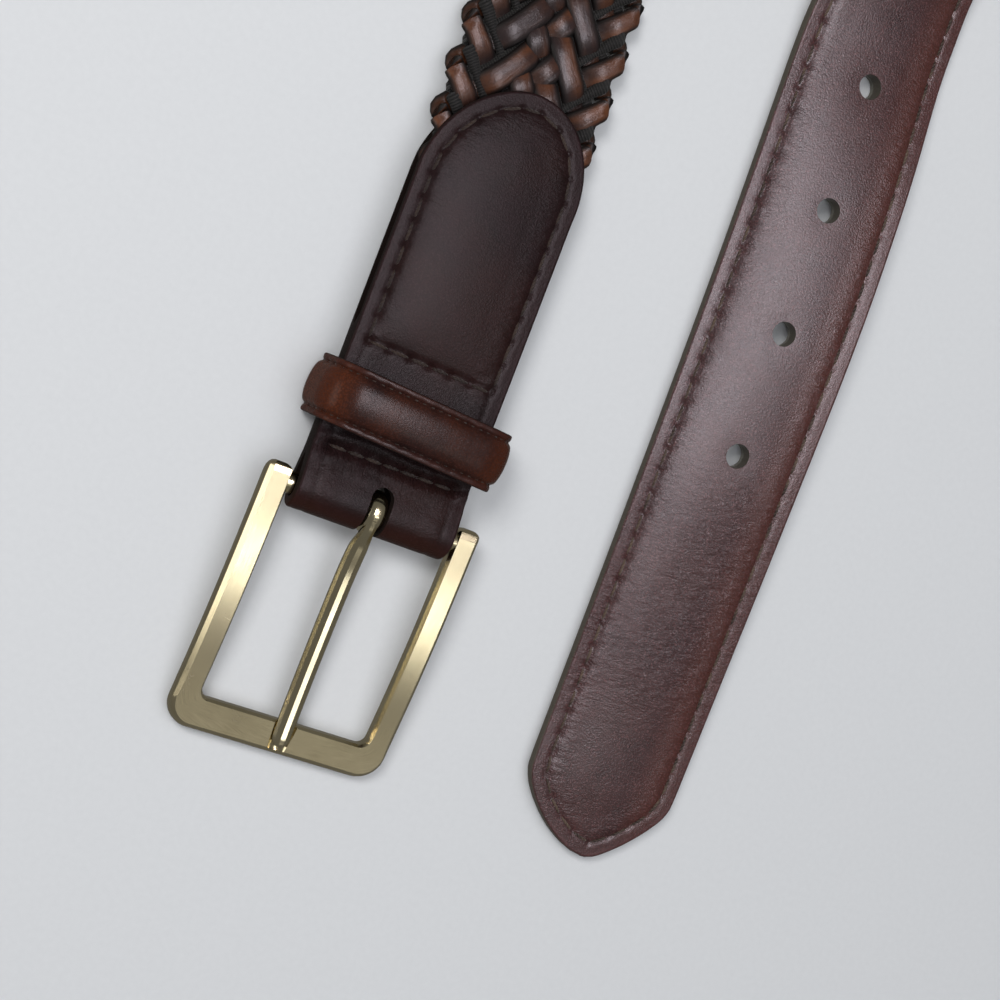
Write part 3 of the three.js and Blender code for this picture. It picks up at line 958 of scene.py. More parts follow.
@dataclass
class BuckleTab:
    """The leather that folds round the heel bar and is sewn over and under the braid's end."""

    half_width: float = 16.0
    end: float = 81.4
    ogive: float = 19.0
    apex_shift: float = 1.8
    slot_half: float = 2.2
    slot_back: float = 5.1
    seam: float = 3.0
    cross_seam: float = 28.6
    bar_seam: float = 8.8
    pitch: float = 4.55
    bar_pitch: float = 3.6
    face_drop: float = 0.42
    back_drop: float = 0.62
    edge_round: float = 0.5
    tuck_in: float = 0.55
    back_groove: float = 0.2
    fold_bulge: float = 0.25
    corner_blend: float = 2.6
    shoulder_rise: float = 0.30
    shoulder_reach: float = 2.2
    crown_rise: float = 0.55
    crown_reach: float = 12.5
    tail_rise: float = 0.25
    cross_groove: float = 0.26
    bar_groove: float = 0.62
    dimples: tuple = (("arch", 0.28, 0.56), ("cross", 0.36, 0.66), ("bar", 0.60, 1.0))
    arch_start: float = 62.0
    arch_reach: float = 19.4
    outer: tuple = ((0, 4.4), (8, 3.2), (18, 3.0), (32, 3.2), (60, 3.25), (82, 3.1))
    inner: tuple = ((0, 2.4), (4, 1.7), (9, 0.12), (29, 0.12), (33, 2.03), (82, 2.05))

    def half(self, s: Array, fullness: float) -> Array:
        """Half the width beside the axis, with the pointed arch at the end."""
        t = np.clip((self.end - s) / self.ogive, 0, 1)
        return np.maximum(0.5, self.half_width * np.sin(np.arccos(1 - t)) ** fullness)

    def sides(self, s: Array) -> tuple[Array, Array]:
        """The left and right edge across the strap."""
        shift = self.apex_shift * np.clip(1 - (self.end - s) / self.ogive, 0, 1)
        return shift - self.half(s, 1.08), shift + self.half(s, 0.98)

    def outline(self) -> Array:
        """The edge's line, up the left side, over the arch and down the right side."""
        arch = self.end - self.arch_reach * np.linspace(1, 0, 60) ** 2
        s = np.concatenate([np.arange(-10, self.arch_start, 1.0), arch])
        left, right = self.sides(s)
        up = np.stack([s, left], axis=1)
        return np.concatenate([up, np.stack([s, right], axis=1)[::-1]])

    def rows_of_holes(self) -> dict[str, Array]:
        """The needle holes of each row: round the arch, across above and below the keeper."""
        line = inset_line(self.outline(), self.seam)
        arch = line[line[:, 0] > self.cross_seam]
        low, high = -self.half_width + self.seam, self.half_width - self.seam
        seams = ((self.cross_seam, -0.6, self.pitch), (self.bar_seam, 0.0, self.bar_pitch))
        across = [
            resample(np.array([[s, low + 0.4], [s + lean, high - 0.4]]), pitch)
            for s, lean, pitch in seams
        ]
        return {"arch": resample(arch, self.pitch), "cross": across[0], "bar": across[1]}

    def relief(self, s: Array, u: Array, rim: Array, holes: dict[str, Array]) -> Array:
        """How the upper leather rises and dips from its flat margin.

        Args:
            s: places along the strap.
            u: places across it.
            rim: distances from the edge.
            holes: the needle holes by row.

        Returns:
            The heights.
        """
        at = np.stack([s, u], axis=-1)
        above = np.clip(s - self.cross_seam + self.seam, -9, 60)
        blend = np.exp(-rim / self.corner_blend) + np.exp(-above / self.corner_blend)
        inside = -self.corner_blend * np.log(blend) - self.seam
        dome = self.shoulder_rise * (1 - np.exp(-np.clip(inside, 0, None) / self.shoulder_reach))
        dome = dome + self.crown_rise * np.sin(math.pi / 2 * np.clip(inside / self.crown_reach, 0, 1))
        tail = ease(self.bar_seam + 1.5, self.bar_seam - 3.5, s)
        crease = bell(rim - self.seam, 0.45) * (0.08 + 0.08 * ease(29, 31, s))
        cross = bell(s - self.cross_seam + 0.3 * u / 13, 0.55) * ease(13.4, 12.6, np.abs(u))
        bar = bell(s - self.bar_seam, 1.0) * ease(14.2, 12.6, np.abs(u))
        deep = sum(pucker(at, holes[row], depth, size) for row, depth, size in self.dimples)
        waves = 0.15 * np.sin(s * 1.9 + 1.3 * np.sin(u * 0.31)) * bell(s - self.bar_seam, 3.0)
        raised = dome + self.tail_rise * tail - crease
        return raised - self.cross_groove * cross - self.bar_groove * bar - deep + waves

    def places_along(self, step: float, count: int) -> Array:
        """Rows along one leaf, closer together where the arch closes."""
        closing = self.arch_reach * np.linspace(1, 0, count)[1:] ** 1.7
        return np.concatenate([np.arange(0, self.arch_start, step), self.end - closing])

    def build(self, leather: bpy.types.Material, thread: bpy.types.Material) -> None:
        """Makes the folded leather with its slot, and its stitches.

        Args:
            leather: the tab's material.
            thread: the thread's material.
        """
        holes = self.rows_of_holes()
        points, belt = self.folded(holes)
        faces = sheet_faces(len(points), points.shape[1] // 2)
        made = mesh_object("tab_leather", points, faces, {"belt": belt})
        combine(made, Solid.CUT_OUT, self.slot_cutter())
        tidy_normals(made, SHARP_ANGLE)
        dress(made, leather, Body.STRAP, "buckle_tab", "buckle_tab")
        self.sew(holes, thread)

    def folded(self, holes: dict[str, Array]) -> tuple[Array, Array]:
        """The leather from its under end, round the heel bar, to the arch.

        Args:
            holes: the needle holes by row.

        Returns:
            The points of each row, outer face first, and their belt attribute.
        """
        fine, coarse = self.places_along(0.5, 56), self.places_along(1.6, 24)
        turn = np.arange(8, 180, 8.0)
        s = np.concatenate([coarse[::-1], np.zeros(len(turn)), fine])
        theta = np.radians(np.concatenate([np.zeros(len(coarse)), turn, np.full(len(fine), 180.0)]))
        left, right = self.sides(s)
        tuck = self.tuck_in * (1 + np.cos(theta)) / 2
        middle, half = (left + right) / 2, (right - left) / 2 - tuck
        u = middle[:, None] + half[:, None] * columns_across(65)
        s_grid, tilt = np.broadcast_to(s[:, None], u.shape), np.broadcast_to(theta[:, None], u.shape)
        on_leaf = (tilt < 0.01) | (tilt > 3.14)
        straight = np.minimum(u - (middle - half)[:, None], (middle + half)[:, None] - u)
        rim = np.where(on_leaf, distance_to(np.stack([s_grid, u], -1), self.outline()), straight)
        rim = np.minimum(rim, straight)
        outer = self.outer_face(s_grid, u, tilt, rim, holes)
        inner = np.broadcast_to(keyed(self.inner, s)[:, None], u.shape)
        ring_height = np.concatenate([outer, inner[:, ::-1]], axis=1)
        ring_u = np.concatenate([u, u[:, ::-1]], axis=1)
        ring_rim = np.concatenate([rim, np.zeros_like(rim)], axis=1)
        along = s[:, None] - np.sin(theta)[:, None] * ring_height
        points = PATH.point(along, ring_u, -np.cos(theta)[:, None] * ring_height)
        return points, np.stack([along, ring_u, ring_rim], axis=-1)

    def outer_face(self, s: Array, u: Array, tilt: Array, rim: Array, holes: dict[str, Array]) -> Array:
        """How far the outer face stands off the strap's middle plane.

        Args:
            s: places along the strap.
            u: places across it.
            tilt: how far round the heel bar a point is, from 0 under it to half a turn over it.
            rim: distances from the edge.
            holes: the needle holes by row.

        Returns:
            The heights: domed on the upper leaf, plain on the under leaf and round the bar.
        """
        top = keyed(self.outer, s) - self.face_drop - rounding(rim, self.edge_round)
        under = -self.back_groove * bell(rim - self.seam, 0.4)
        leaves = top + np.where(tilt > 1.6, self.relief(s, u, rim, holes), under)
        fold = top + self.fold_bulge * np.sin(tilt) ** 2 + under
        return np.where((tilt > 0.01) & (tilt <= 1.6), fold, leaves)

    def slot_cutter(self) -> bpy.types.Object:
        """The rounded slot that the prong turns in."""
        angle = np.radians(np.arange(0, 181, 12))
        back = PATH.bar_y + self.slot_back - self.slot_half
        arc = [[self.slot_half * math.cos(a), back + self.slot_half * math.sin(a), 0] for a in angle]
        front = PATH.bar_y - 12
        outline = np.array(arc + [[-self.slot_half, front, 0], [self.slot_half, front, 0]])
        return prism(outline, np.array([0, 0, -4.0]), np.array([0, 0, 24.0]))

    def sew(self, holes: dict[str, Array], thread: bpy.types.Material) -> None:
        """Adds the stitches on both faces."""
        outline = self.outline()
        none = {row: np.zeros((0, 2)) for row in holes}

        def face(s: Array, u: Array, lift: Array) -> Array:
            """Points over the upper leather."""
            rim = distance_to(np.stack([s, u], -1), outline)
            height = keyed(self.outer, s) - self.face_drop + self.relief(s, u, rim, none)
            return PATH.point(s, u, height + lift)

        def back(s: Array, u: Array, lift: Array) -> Array:
            """Points over the under leather."""
            return PATH.point(s, u, -(keyed(self.outer, s) - self.back_drop) - lift)

        work = Stitching()
        for line in holes.values():
            work.add(line, face, rise=0.06)
            work.add(line, back)
        work.build("tab_thread", thread, Body.STRAP, "buckle_tab")


@dataclass
class Braid:
    """Nine leather strips, each with a black cord beside it, woven over and under."""

    start: float = 33.4
    end: float = 838.6
    strands: int = 9
    period: float = 80.6
    half: float = 14.4
    cord_half: float = 13.2
    turn_radius: float = 1.0
    turn_blend: float = 1.6
    steepness: float = 0.26
    strip_half: tuple = (2.45, 2.0)
    strip_thick: float = 0.82
    strip_section: tuple = (12, 0.84)
    cord_half_width: tuple = (0.8, 1.35)
    cord_thick: float = 0.55
    cord_depth: float = 0.62
    cord_section: tuple = (8, 0.9)
    cord_rise: tuple = (10.0, 12.5)
    tuck: tuple = ((33, 0.82), (56, 0.85), (66, 0.93), (79, 1.0), (790, 1.0), (820, 0.93), (839, 0.9))
    pattern: tuple = (-1, -1, 1, 1, -1, 1, -1, -1, 1, 1)

    def stations(self) -> tuple[Array, Array]:
        """Steps along one crossing from edge to edge, close together in the turns."""
        turn = math.pi * self.turn_radius / 2
        total = 2 * self.half + 2 * turn
        near = np.arange(0, turn + 1.2, 0.42) / total
        middle = np.linspace(near[-1], 1 - near[-1], 31)[1:-1]
        w = np.concatenate([near, middle, 1 - near[::-1][:-1]])
        x = np.linspace(0, 1, 2001)
        run = x + self.steepness * np.sin(2 * math.pi * x) / (2 * math.pi)
        return np.interp(w, run, x), w

    def level(self, x: Array, shift: float) -> Array:
        """How high a strand lies, from -1 under to 1 over, by its way from edge to edge."""
        at = np.clip((x + shift) * self.strands, 0, self.strands)
        i = np.clip(at.astype(int), 0, self.strands - 1)
        seq = np.array(self.pattern, float)
        return seq[i] + (seq[i + 1] - seq[i]) * ease(0.14, 0.86, at - i)

    def centreline(self, number: int, half: float, depth: float, lag: float, shift: float) -> tuple:
        """One strand's line through the whole braid.

        Args:
            number: which strand it is.
            half: how far out its turns lie.
            depth: how far from the middle plane it runs.
            lag: how far behind its strip it runs, as a share of the strands' spacing.
            shift: how its rises are moved along it.

        Returns:
            s, u and h of its points, the angle that its face is turned by, and how near a turn each is.
        """
        x = self.stations()[0][:-1]
        u, h, face, in_turn = (v[:-1] for v in self.crossing(half, depth, shift))
        half_period = self.period / 2
        offset = (number + lag) / self.strands * self.period
        first = math.floor((self.start - offset) / half_period) - 1
        last = math.ceil((self.end - offset) / half_period) + 1
        leg = np.arange(first, last)[:, None]
        to_the_right = leg % 2 == 0
        side, half_turn = np.where(to_the_right, 1, -1), np.where(to_the_right, 0.0, math.pi)
        s = ((leg + x) * half_period + offset).ravel()
        u, face = (u * side).ravel(), (face * side + half_turn).ravel()
        h, turns = np.tile(h, len(leg)), np.tile(in_turn.astype(float), len(leg))
        inside = (s > self.start) & (s < self.end)
        u = u * keyed(self.tuck, s)
        if lag:
            h = h * ease(*self.cord_rise, np.abs(u))
        return s[inside], u[inside], h[inside], face[inside], turns[inside]

    def crossing(self, half: float, depth: float, shift: float) -> tuple[Array, Array, Array, Array]:
        """One crossing from the left edge to the right, with half a turn at both ends.

        Args:
            half: how far out its turns lie.
            depth: how far from the middle plane it runs.
            shift: how its rises are moved along it.

        Returns:
            u and h of its points, the angle that its face is turned by, and which points are in a turn.
        """
        x, w = self.stations()
        arc = math.pi * self.turn_radius / 2
        total = 2 * half + 2 * arc
        run = w * total
        lead, trail = run < arc, run > total - arc
        turned = np.where(lead, math.pi / 2 + run / self.turn_radius, 0.0)
        turned = np.where(trail, (run - (total - arc)) / self.turn_radius, turned)
        in_turn = lead | trail
        out = half + np.where(in_turn, np.sin(turned) * self.turn_radius, 0.0)
        u = np.where(lead, -out, np.where(trail, out, -half + run - arc))
        h = np.where(in_turn, np.cos(turned) * self.turn_radius, depth * self.level(x, shift))
        near = ease(arc, arc + self.turn_blend, np.minimum(run, total - run))
        edge = (1 - near) * np.where(run < total / 2, -1, 1) * self.turn_radius
        h = np.where(in_turn, h, h * near + edge)
        face = np.where(lead, turned - math.pi, np.where(trail, turned, 0.0))
        return u, h, face, in_turn

    def sweep(self, line: tuple, width: tuple, thick: float, sides: int, power: float) -> tuple:
        """Sweeps a rounded section along a strand.

        Args:
            line: the strand's line, as centreline gives it.
            width: half the section's width in the middle of the braid and in its turns.
            thick: half its thickness.
            sides: how many points the section has.
            power: 1 for an ellipse, less for a flatter, squarer section.

        Returns:
            The points and the two attributes of each.
        """
        s, u, h, face, turns = line
        middle = PATH.point(s, u, h)
        _, across, out = PATH.axes(s)
        way = unit(np.gradient(middle, axis=0))
        cos, sin = np.cos(face)[:, None], np.sin(face)[:, None]
        normal = out * cos + across * sin
        normal = unit(normal - way * np.sum(normal * way, axis=1, keepdims=True))
        side = np.cross(way, normal)
        angle = angles_round(sides)
        a = np.sign(np.cos(angle)) * np.abs(np.cos(angle)) ** power
        b = np.sign(np.sin(angle)) * np.abs(np.sin(angle)) ** power
        wide = width[0] + (width[1] - width[0]) * ease(9.0, 14.0, np.abs(u))
        points = (
            middle[:, None]
            + side[:, None] * (wide[:, None] * a)[..., None]
            + normal[:, None] * (b * thick)[None, :, None]
        )
        strand = np.zeros(points.shape)
        strand[..., 0] = run_along(middle)[:, None]
        strand[..., 1], strand[..., 2] = a[None, :], turns[:, None]
        return points, strand, np.stack([u, h], axis=1)

    def build(self, leather: bpy.types.Material, cord: bpy.types.Material) -> None:
        """Makes the strips and the cords.

        Args:
            leather: the strips' material.
            cord: the cords' material.
        """
        step = 1 / (4 * self.strands)
        strips, cords = [], []
        for n in range(self.strands):
            line = self.centreline(n, self.half, self.turn_radius, 0.0, -step)
            strips.append(self.sweep(line, self.strip_half, self.strip_thick, *self.strip_section))
            line = self.centreline(n, self.cord_half, self.cord_depth, 0.5, step)
            cords.append(self.sweep(line, self.cord_half_width, self.cord_thick, *self.cord_section))
        self.join_strands("braid_strips", leather, strips, "braid")
        self.join_strands("braid_cords", cord, cords)

    def join_strands(self, name: str, finish: bpy.types.Material, swept: list, *stands_for: str) -> None:
        """Joins swept strands into one piece.

        Args:
            name: the piece's name.
            finish: its material.
            swept: each strand's points and its two attributes.
            stands_for: the CAD nodes that it replaces.
        """
        points, faces, strand, weave, start = [], [], [], [], 0
        for number, (rings, mark, place) in enumerate(swept):
            count, sides = rings.shape[:2]
            points.append(rings.reshape(-1, 3))
            strand.append(mark.reshape(-1, 3))
            spot = np.zeros((count, sides, 3))
            spot[..., :2], spot[..., 2] = place[:, None], number
            weave.append(spot.reshape(-1, 3))
            faces += tube_faces(count, sides, start)
            start += count * sides
        fields = {"strand": np.concatenate(strand), "weave": np.concatenate(weave)}
        piece = mesh_object(name, np.concatenate(points), faces, fields, sharp=70)
        dress(piece, finish, Body.STRAP, "braid", *stands_for)


@dataclass
class Keeper:
    """The padded leather ring that holds the strap's end."""

    x: float = 0.3
    half_width: float = 18.9
    height: float = 16.0
    band: float = 11.3
    wall: float = 1.75
    skew: float = -3.0
    foot: float = 2.6
    shoulder: float = 6.5
    rise: float = 0.7
    seam: float = 1.45
    pitch: float = 3.4
    margin_drop: float = 0.55
    groove: float = 0.30
    dimple: float = 0.26
    edge_round: float = 0.4

    def ring(self) -> Array:
        """The ring's outer line in the upright plane, closed and even."""
        w, high, rise = self.half_width, self.height, self.rise
        foot, shoulder = self.foot, self.shoulder
        corners = [
            ((-w + foot, 0), (0, 0), (w - foot, 0)),
            ((w - foot, 0), (w, 0), (w, foot)),
            ((w, foot), (w, 6), (w, high - rise - shoulder)),
            ((w, high - rise - shoulder), (w, high - rise), (w - shoulder, high - rise * 0.6)),
            ((w - shoulder, high - rise * 0.6), (0, high + rise * 0.4), (-w + shoulder, high - rise * 0.6)),
            ((-w + shoulder, high - rise * 0.6), (-w, high - rise), (-w, high - rise - shoulder)),
            ((-w, high - rise - shoulder), (-w, 6), (-w, foot)),
            ((-w, foot), (-w, 0), (-w + foot, 0)),
        ]
        t = np.linspace(0, 1, 33)[:-1, None]
        line = [
            (1 - t) ** 2 * np.array(a) + 2 * t * (1 - t) * np.array(b) + t**2 * np.array(c)
            for a, b, c in corners
        ]
        closed = np.concatenate([*line, [line[0][0]]])
        return resample(closed, 0.55)[:-1]

    def skin(self, run: Array, v: Array) -> Array:
        """How far the outer face stands off the ring's line, across the band."""
        rim = self.band / 2 - np.abs(v)
        reach = self.band / 2 - self.seam
        crown = np.clip(1 - (np.abs(v) / reach) ** 2, 0, 1) ** 0.6
        stand = crown - self.margin_drop - self.groove * bell(rim - self.seam, 0.30)
        holes = 0.5 + 0.5 * np.cos(run / self.pitch * 2 * math.pi)
        dimples = self.dimple * bell(rim - self.seam, 0.55) * holes**3
        return stand - rounding(rim, self.edge_round) - dimples

    def build(self, leather: bpy.types.Material, thread: bpy.types.Material) -> None:
        """Makes the ring and its two rows of stitches.

        Args:
            leather: the keeper's material.
            thread: the thread's material.
        """
        ring = self.ring()
        step = np.linalg.norm(np.roll(ring, -1, axis=0) - ring, axis=1)
        run = np.concatenate([[0], np.cumsum(step)[:-1]])
        total = step.sum()
        self.pitch = total / round(total / self.pitch)
        way = unit(np.roll(ring, -1, axis=0) - np.roll(ring, 1, axis=0))
        out = np.stack([way[:, 1], -way[:, 0]], axis=1)
        half = self.band / 2
        v = columns_across(45) * half
        outer = self.skin(run[:, None], v[None, :])
        v_in = np.linspace(half - 0.1, 0.1 - half, 9)
        inner = np.full((len(ring), len(v_in)), -self.wall)
        stand = np.concatenate([outer, inner], axis=1)
        across = np.concatenate([v, v_in])
        points = self.place(ring, out, stand, across)
        rim = half - np.abs(across)
        rim = np.where(np.arange(len(across)) < len(v), rim, 0.0)
        belt = np.stack([*np.broadcast_arrays(run[:, None], ring[:, :1] + 0 * across, rim[None, :])], axis=-1)
        faces = grid_faces(len(ring), len(across), around=True, along=True).tolist()
        made = mesh_object("keeper_band", points, faces, {"belt": belt}, sharp=50)
        dress(made, leather, Body.STRAP, "keeper", "keeper")
        self.sew(ring, out, run, total, thread)

    def place(self, ring: Array, out: Array, stand: Array, across: Array) -> Array:
        """Points off the ring's line, turned by the band's skew."""
        flat = ring[:, None] + out[:, None] * stand[..., None]
        y = np.broadcast_to(across, stand.shape)
        angle = math.radians(self.skew)
        x = flat[..., 0] * math.cos(angle) - y * math.sin(angle) + self.x
        return np.stack([x, flat[..., 0] * math.sin(angle) + y * math.cos(angle), flat[..., 1]], axis=-1)

    def sew(self, ring: Array, out: Array, run: Array, total: float, thread: bpy.types.Material) -> None:
        """Adds the two rows of stitches."""
        loop = np.concatenate([run, [total]])
        line, lean = np.concatenate([ring, ring[:1]]), np.concatenate([out, out[:1]])

        def face(at: Array, v: Array, lift: Array) -> Array:
            """Points over the band's face."""
            spot = np.stack([np.interp(at % total, loop, line[:, k]) for k in (0, 1)], axis=1)
            away = unit(np.stack([np.interp(at % total, loop, lean[:, k]) for k in (0, 1)], axis=1))
            stand = self.skin(at + self.pitch / 2, v) + lift
            return self.place(spot, away, stand[:, None], v[:, None])[:, 0]

        work = Stitching(thread_radius=0.24, dip=0.34)
        holes = np.arange(0, round(total / self.pitch)) * self.pitch
        for side in (-1, 1):
            level = np.full(len(holes) + 1, side * (self.band / 2 - self.seam))
            work.add(np.stack([np.append(holes, total), level], axis=1), face, rise=0.05)
        work.build("keeper_thread", thread, Body.STRAP, "keeper")


@dataclass
class PunchedEnd:
    """The lined strap with the holes, sewn over the braid's other end."""

    length: float = 247.0
    half_width: float = 16.5
    ogive: float = 19.0
    seam: float = 3.1
    pitch: float = 4.6
    hole_count: int = 5
    hole_first: float = 85.2
    hole_pitch: float = 25.4
    hole_radius: float = 2.45
    hole_offset: float = -0.8
    tip_shift: float = -1.6
    tip_reach: float = 14.0
    tip_end: float = 18.0
    seam_groove: float = 0.16
    seam_wave: float = 0.11
    dimple: float = 0.26
    dimple_size: float = 0.52
    hole_dip: float = 0.14
    hole_dip_size: float = 3.6
    edge_round: float = 0.45
    shoulder_share: float = 0.32
    shoulder_reach: float = 2.6
    crown_share: float = 0.68
    crown_reach: float = 13.0
    lining_inset: float = 0.35
    lining_round: float = 0.9
    tip_narrow: tuple = (
        (0, 0.6), (0.5, 2.2), (2, 4.8), (5, 8.8), (9, 13.0), (12, 15.4), (14.5, 16.4), (18, 16.5),
    )
    tip_full: tuple = (
        (0, 0.6), (0.5, 2.9), (2, 6.3), (5, 10.4), (9, 14.0), (12, 15.7), (15, 16.4), (18, 16.5),
    )
    top_low: tuple = ((0, -0.75), (190, -0.75), (206, 2.1), (247, 2.1))
    top_edge: tuple = ((0, 1.0), (14, 1.25), (182, 1.25), (206, 3.3), (247, 3.2))
    top_crown: tuple = ((0, 1.2), (14, 1.9), (40, 2.25), (176, 2.25), (206, 4.1), (247, 3.6))
    lining_high: tuple = ((0, -0.85), (190, -0.85), (206, -2.1), (247, -2.1))
    lining_low: tuple = ((0, -2.0), (190, -2.0), (206, -3.35), (247, -3.3))

    def sides(self, d: Array, less: float = 0.0) -> tuple[Array, Array]:
        """The two edges across the strap by the distance from the tip."""
        shift = self.tip_shift * np.clip(1 - d / self.tip_reach, 0, 1)
        t = np.clip((self.length - d) / self.ogive, 0, 1)
        arch = np.maximum(0.5, self.half_width * np.sin(np.arccos(1 - t)) ** 0.9)
        near = d <= self.tip_end
        low = np.where(near, keyed(self.tip_narrow, d), arch) - less
        high = np.where(near, keyed(self.tip_full, d), arch) - less
        return shift - np.maximum(low, 0.4), shift + np.maximum(high, 0.4)

    def distances(self, step: float) -> Array:
        """Rows by distance from the tip, closer together where the outline closes."""
        close = self.tip_reach * np.linspace(0, 1, int(20 / step)) ** 1.8
        arch = self.length - self.ogive * np.linspace(1, 0, int(26 / step)) ** 1.7
        last = self.length - self.ogive - step / 2
        return np.concatenate([close, np.arange(self.tip_reach + step, last, step), arch])

    def outline(self) -> Array:
        """The whole edge as a closed line of distance and place across."""
        d = np.concatenate([
            self.tip_reach * np.linspace(0, 1, 60) ** 1.8,
            np.arange(self.tip_reach + 1, self.length - self.ogive, 2.0),
            self.length - self.ogive * np.linspace(1, 0, 60) ** 1.7,
        ])
        low, high = self.sides(d)
        up = np.stack([d, low], axis=1)
        line = np.concatenate([up, np.stack([d, high], axis=1)[::-1]])
        return np.concatenate([line, line[:1]])

    def needle_holes(self) -> Array:
        """The needle holes, all round."""
        line = inset_line(self.outline(), self.seam)
        return resample(np.concatenate([line, line[:1]]), self.pitch)[:-1]

    def punched(self) -> Array:
        """The holes' middles."""
        d = self.hole_first + np.arange(self.hole_count) * self.hole_pitch
        return np.stack([d, np.full(self.hole_count, self.hole_offset)], axis=1)

    def top(self, d: Array, u: Array, rim: Array, needle: Array) -> Array:
        """The outer leather's height.

        Args:
            d: distances from the tip.
            u: places across.
            rim: distances from the edge.
            needle: the needle holes.

        Returns:
            The heights out of the strap's middle plane.
        """
        at = np.stack([d, u], axis=-1)
        edge, crown = keyed(self.top_edge, d), keyed(self.top_crown, d)
        inside = np.clip(rim - self.seam, 0, None)
        dome = self.shoulder_share * (1 - np.exp(-inside / self.shoulder_reach))
        dome = dome + self.crown_share * np.sin(math.pi / 2 * np.clip(inside / self.crown_reach, 0, 1))
        height = edge + (crown - edge) * dome - self.seam_groove * bell(rim - self.seam, 0.40)
        wave = 0.5 + 0.5 * np.cos(d / self.pitch * 2 * math.pi)
        height = height - self.seam_wave * bell(rim - self.seam - 0.7, 1.0) * wave
        height = height - pucker(at, needle, self.dimple, self.dimple_size)
        for hole in self.punched():
            away = np.hypot(d - hole[0], u - hole[1])
            height = height - self.hole_dip * bell(away, self.hole_dip_size)
        return height - rounding(rim, self.edge_round)

    def build(
        self, leather: bpy.types.Material, lining: bpy.types.Material, thread: bpy.types.Material
    ) -> None:
        """Makes the leather, its lining and the stitches.

        Args:
            leather: the outer leather's material.
            lining: the lining's material.
            thread: the thread's material.
        """
        needle, outline = self.needle_holes(), self.outline()
        d, across = self.distances(0.75), columns_across(53)
        u, rim, rows = self.grid(d, across, 0.0, outline)
        top = self.top(rows, u, rim, needle)
        low = np.broadcast_to(keyed(self.top_low, d)[:, None], u.shape)
        leather_piece = self.sheet("tip_leather", rows, u, rim, top, low)
        dress(leather_piece, leather, Body.STRAP, "tip_strap", "tip_strap")
        d, across = self.distances(1.5), columns_across(33)
        u, rim, rows = self.grid(d, across, self.lining_inset, outline)
        high = np.broadcast_to(keyed(self.lining_high, d)[:, None], u.shape)
        under = keyed(self.lining_low, d)[:, None] + rounding(rim - self.lining_inset, self.lining_round)
        under = under + 0.15 * bell(rim - self.seam, 0.4)
        lining_piece = self.sheet("tip_lining_sheet", rows, u, rim, under, high)
        dress(lining_piece, lining, Body.STRAP, "tip_lining", "tip_lining")
        self.sew(needle, outline, thread)

    def grid(self, d: Array, across: Array, less: float, outline: Array) -> tuple[Array, Array, Array]:
        """Places across each row and their distances from the edge.

        Args:
            d: the rows' distances from the tip.
            across: the columns' places from -1 to 1.
            less: how far the edge is drawn in.
            outline: the outer leather's edge.

        Returns:
            Places across, distances from the edge and each point's own row.
        """
        low, high = self.sides(d, less)
        u = ((low + high) / 2)[:, None] + ((high - low) / 2)[:, None] * across
        rows = np.broadcast_to(d[:, None], u.shape)
        straight = np.minimum(u - low[:, None], high[:, None] - u)
        rim = np.minimum(distance_to(np.stack([rows, u], -1), outline), straight)
        return u, rim, rows

    def sheet(self, name: str, d: Array, u: Array, rim: Array, face: Array, back: Array) -> bpy.types.Object:
        """A closed, punched sheet between two heights.

        Args:
            name: the piece's name.
            d: distances from the tip.
            u: places across.
            rim: distances from the edge.
            face: the seen side's heights.
            back: the other side's heights.

        Returns:
            The sheet.
        """
        rows = np.concatenate([d, d[:, ::-1]], axis=1)
        wide = np.concatenate([u, u[:, ::-1]], axis=1)
        tall = np.concatenate([face, back[:, ::-1]], axis=1)
        points = PATH.point(PATH.length - rows, wide, tall)
        edge = np.concatenate([rim, rim[:, ::-1] * 0], axis=1)
        belt = np.stack([rows, wide, edge], axis=-1)
        made = mesh_object(name, points, sheet_faces(*u.shape), {"belt": belt})
        for hole in self.punched():
            combine(made, Solid.CUT_OUT, self.punch(hole))
        tidy_normals(made, SHARP_ANGLE)
        return made

    def punch(self, hole: Array) -> bpy.types.Object:
        """A round cutter through the strap at one hole."""
        s = np.array([PATH.length - hole[0]])
        middle, across, out = (v[0] for v in PATH.axes(s))
        way = np.cross(out, across)
        angle = angles_round(48)
        ring = self.hole_radius * (np.cos(angle)[:, None] * across + np.sin(angle)[:, None] * way)
        centre = middle + across * hole[1]
        return prism(ring, centre - out * 6, centre + out * 6)

    def sew(self, needle: Array, outline: Array, thread: bpy.types.Material) -> None:
        """Adds the stitches on both faces."""
        none = np.zeros((0, 2))

        def face(d: Array, u: Array, lift: Array) -> Array:
            """Points over the outer leather."""
            rim = distance_to(np.stack([d, u], -1), outline)
            return PATH.point(PATH.length - d, u, self.top(d, u, rim, none) + lift)

        def back(d: Array, u: Array, lift: Array) -> Array:
            """Points over the lining."""
            return PATH.point(PATH.length - d, u, keyed(self.lining_low, d) + 0.12 - lift)

        work = Stitching(thread_radius=0.27)
        work.add(needle, face, closed=True, rise=0.16)
        work.add(needle, back, closed=True)
        work.build("tip_thread", thread, Body.STRAP, "tip_strap")


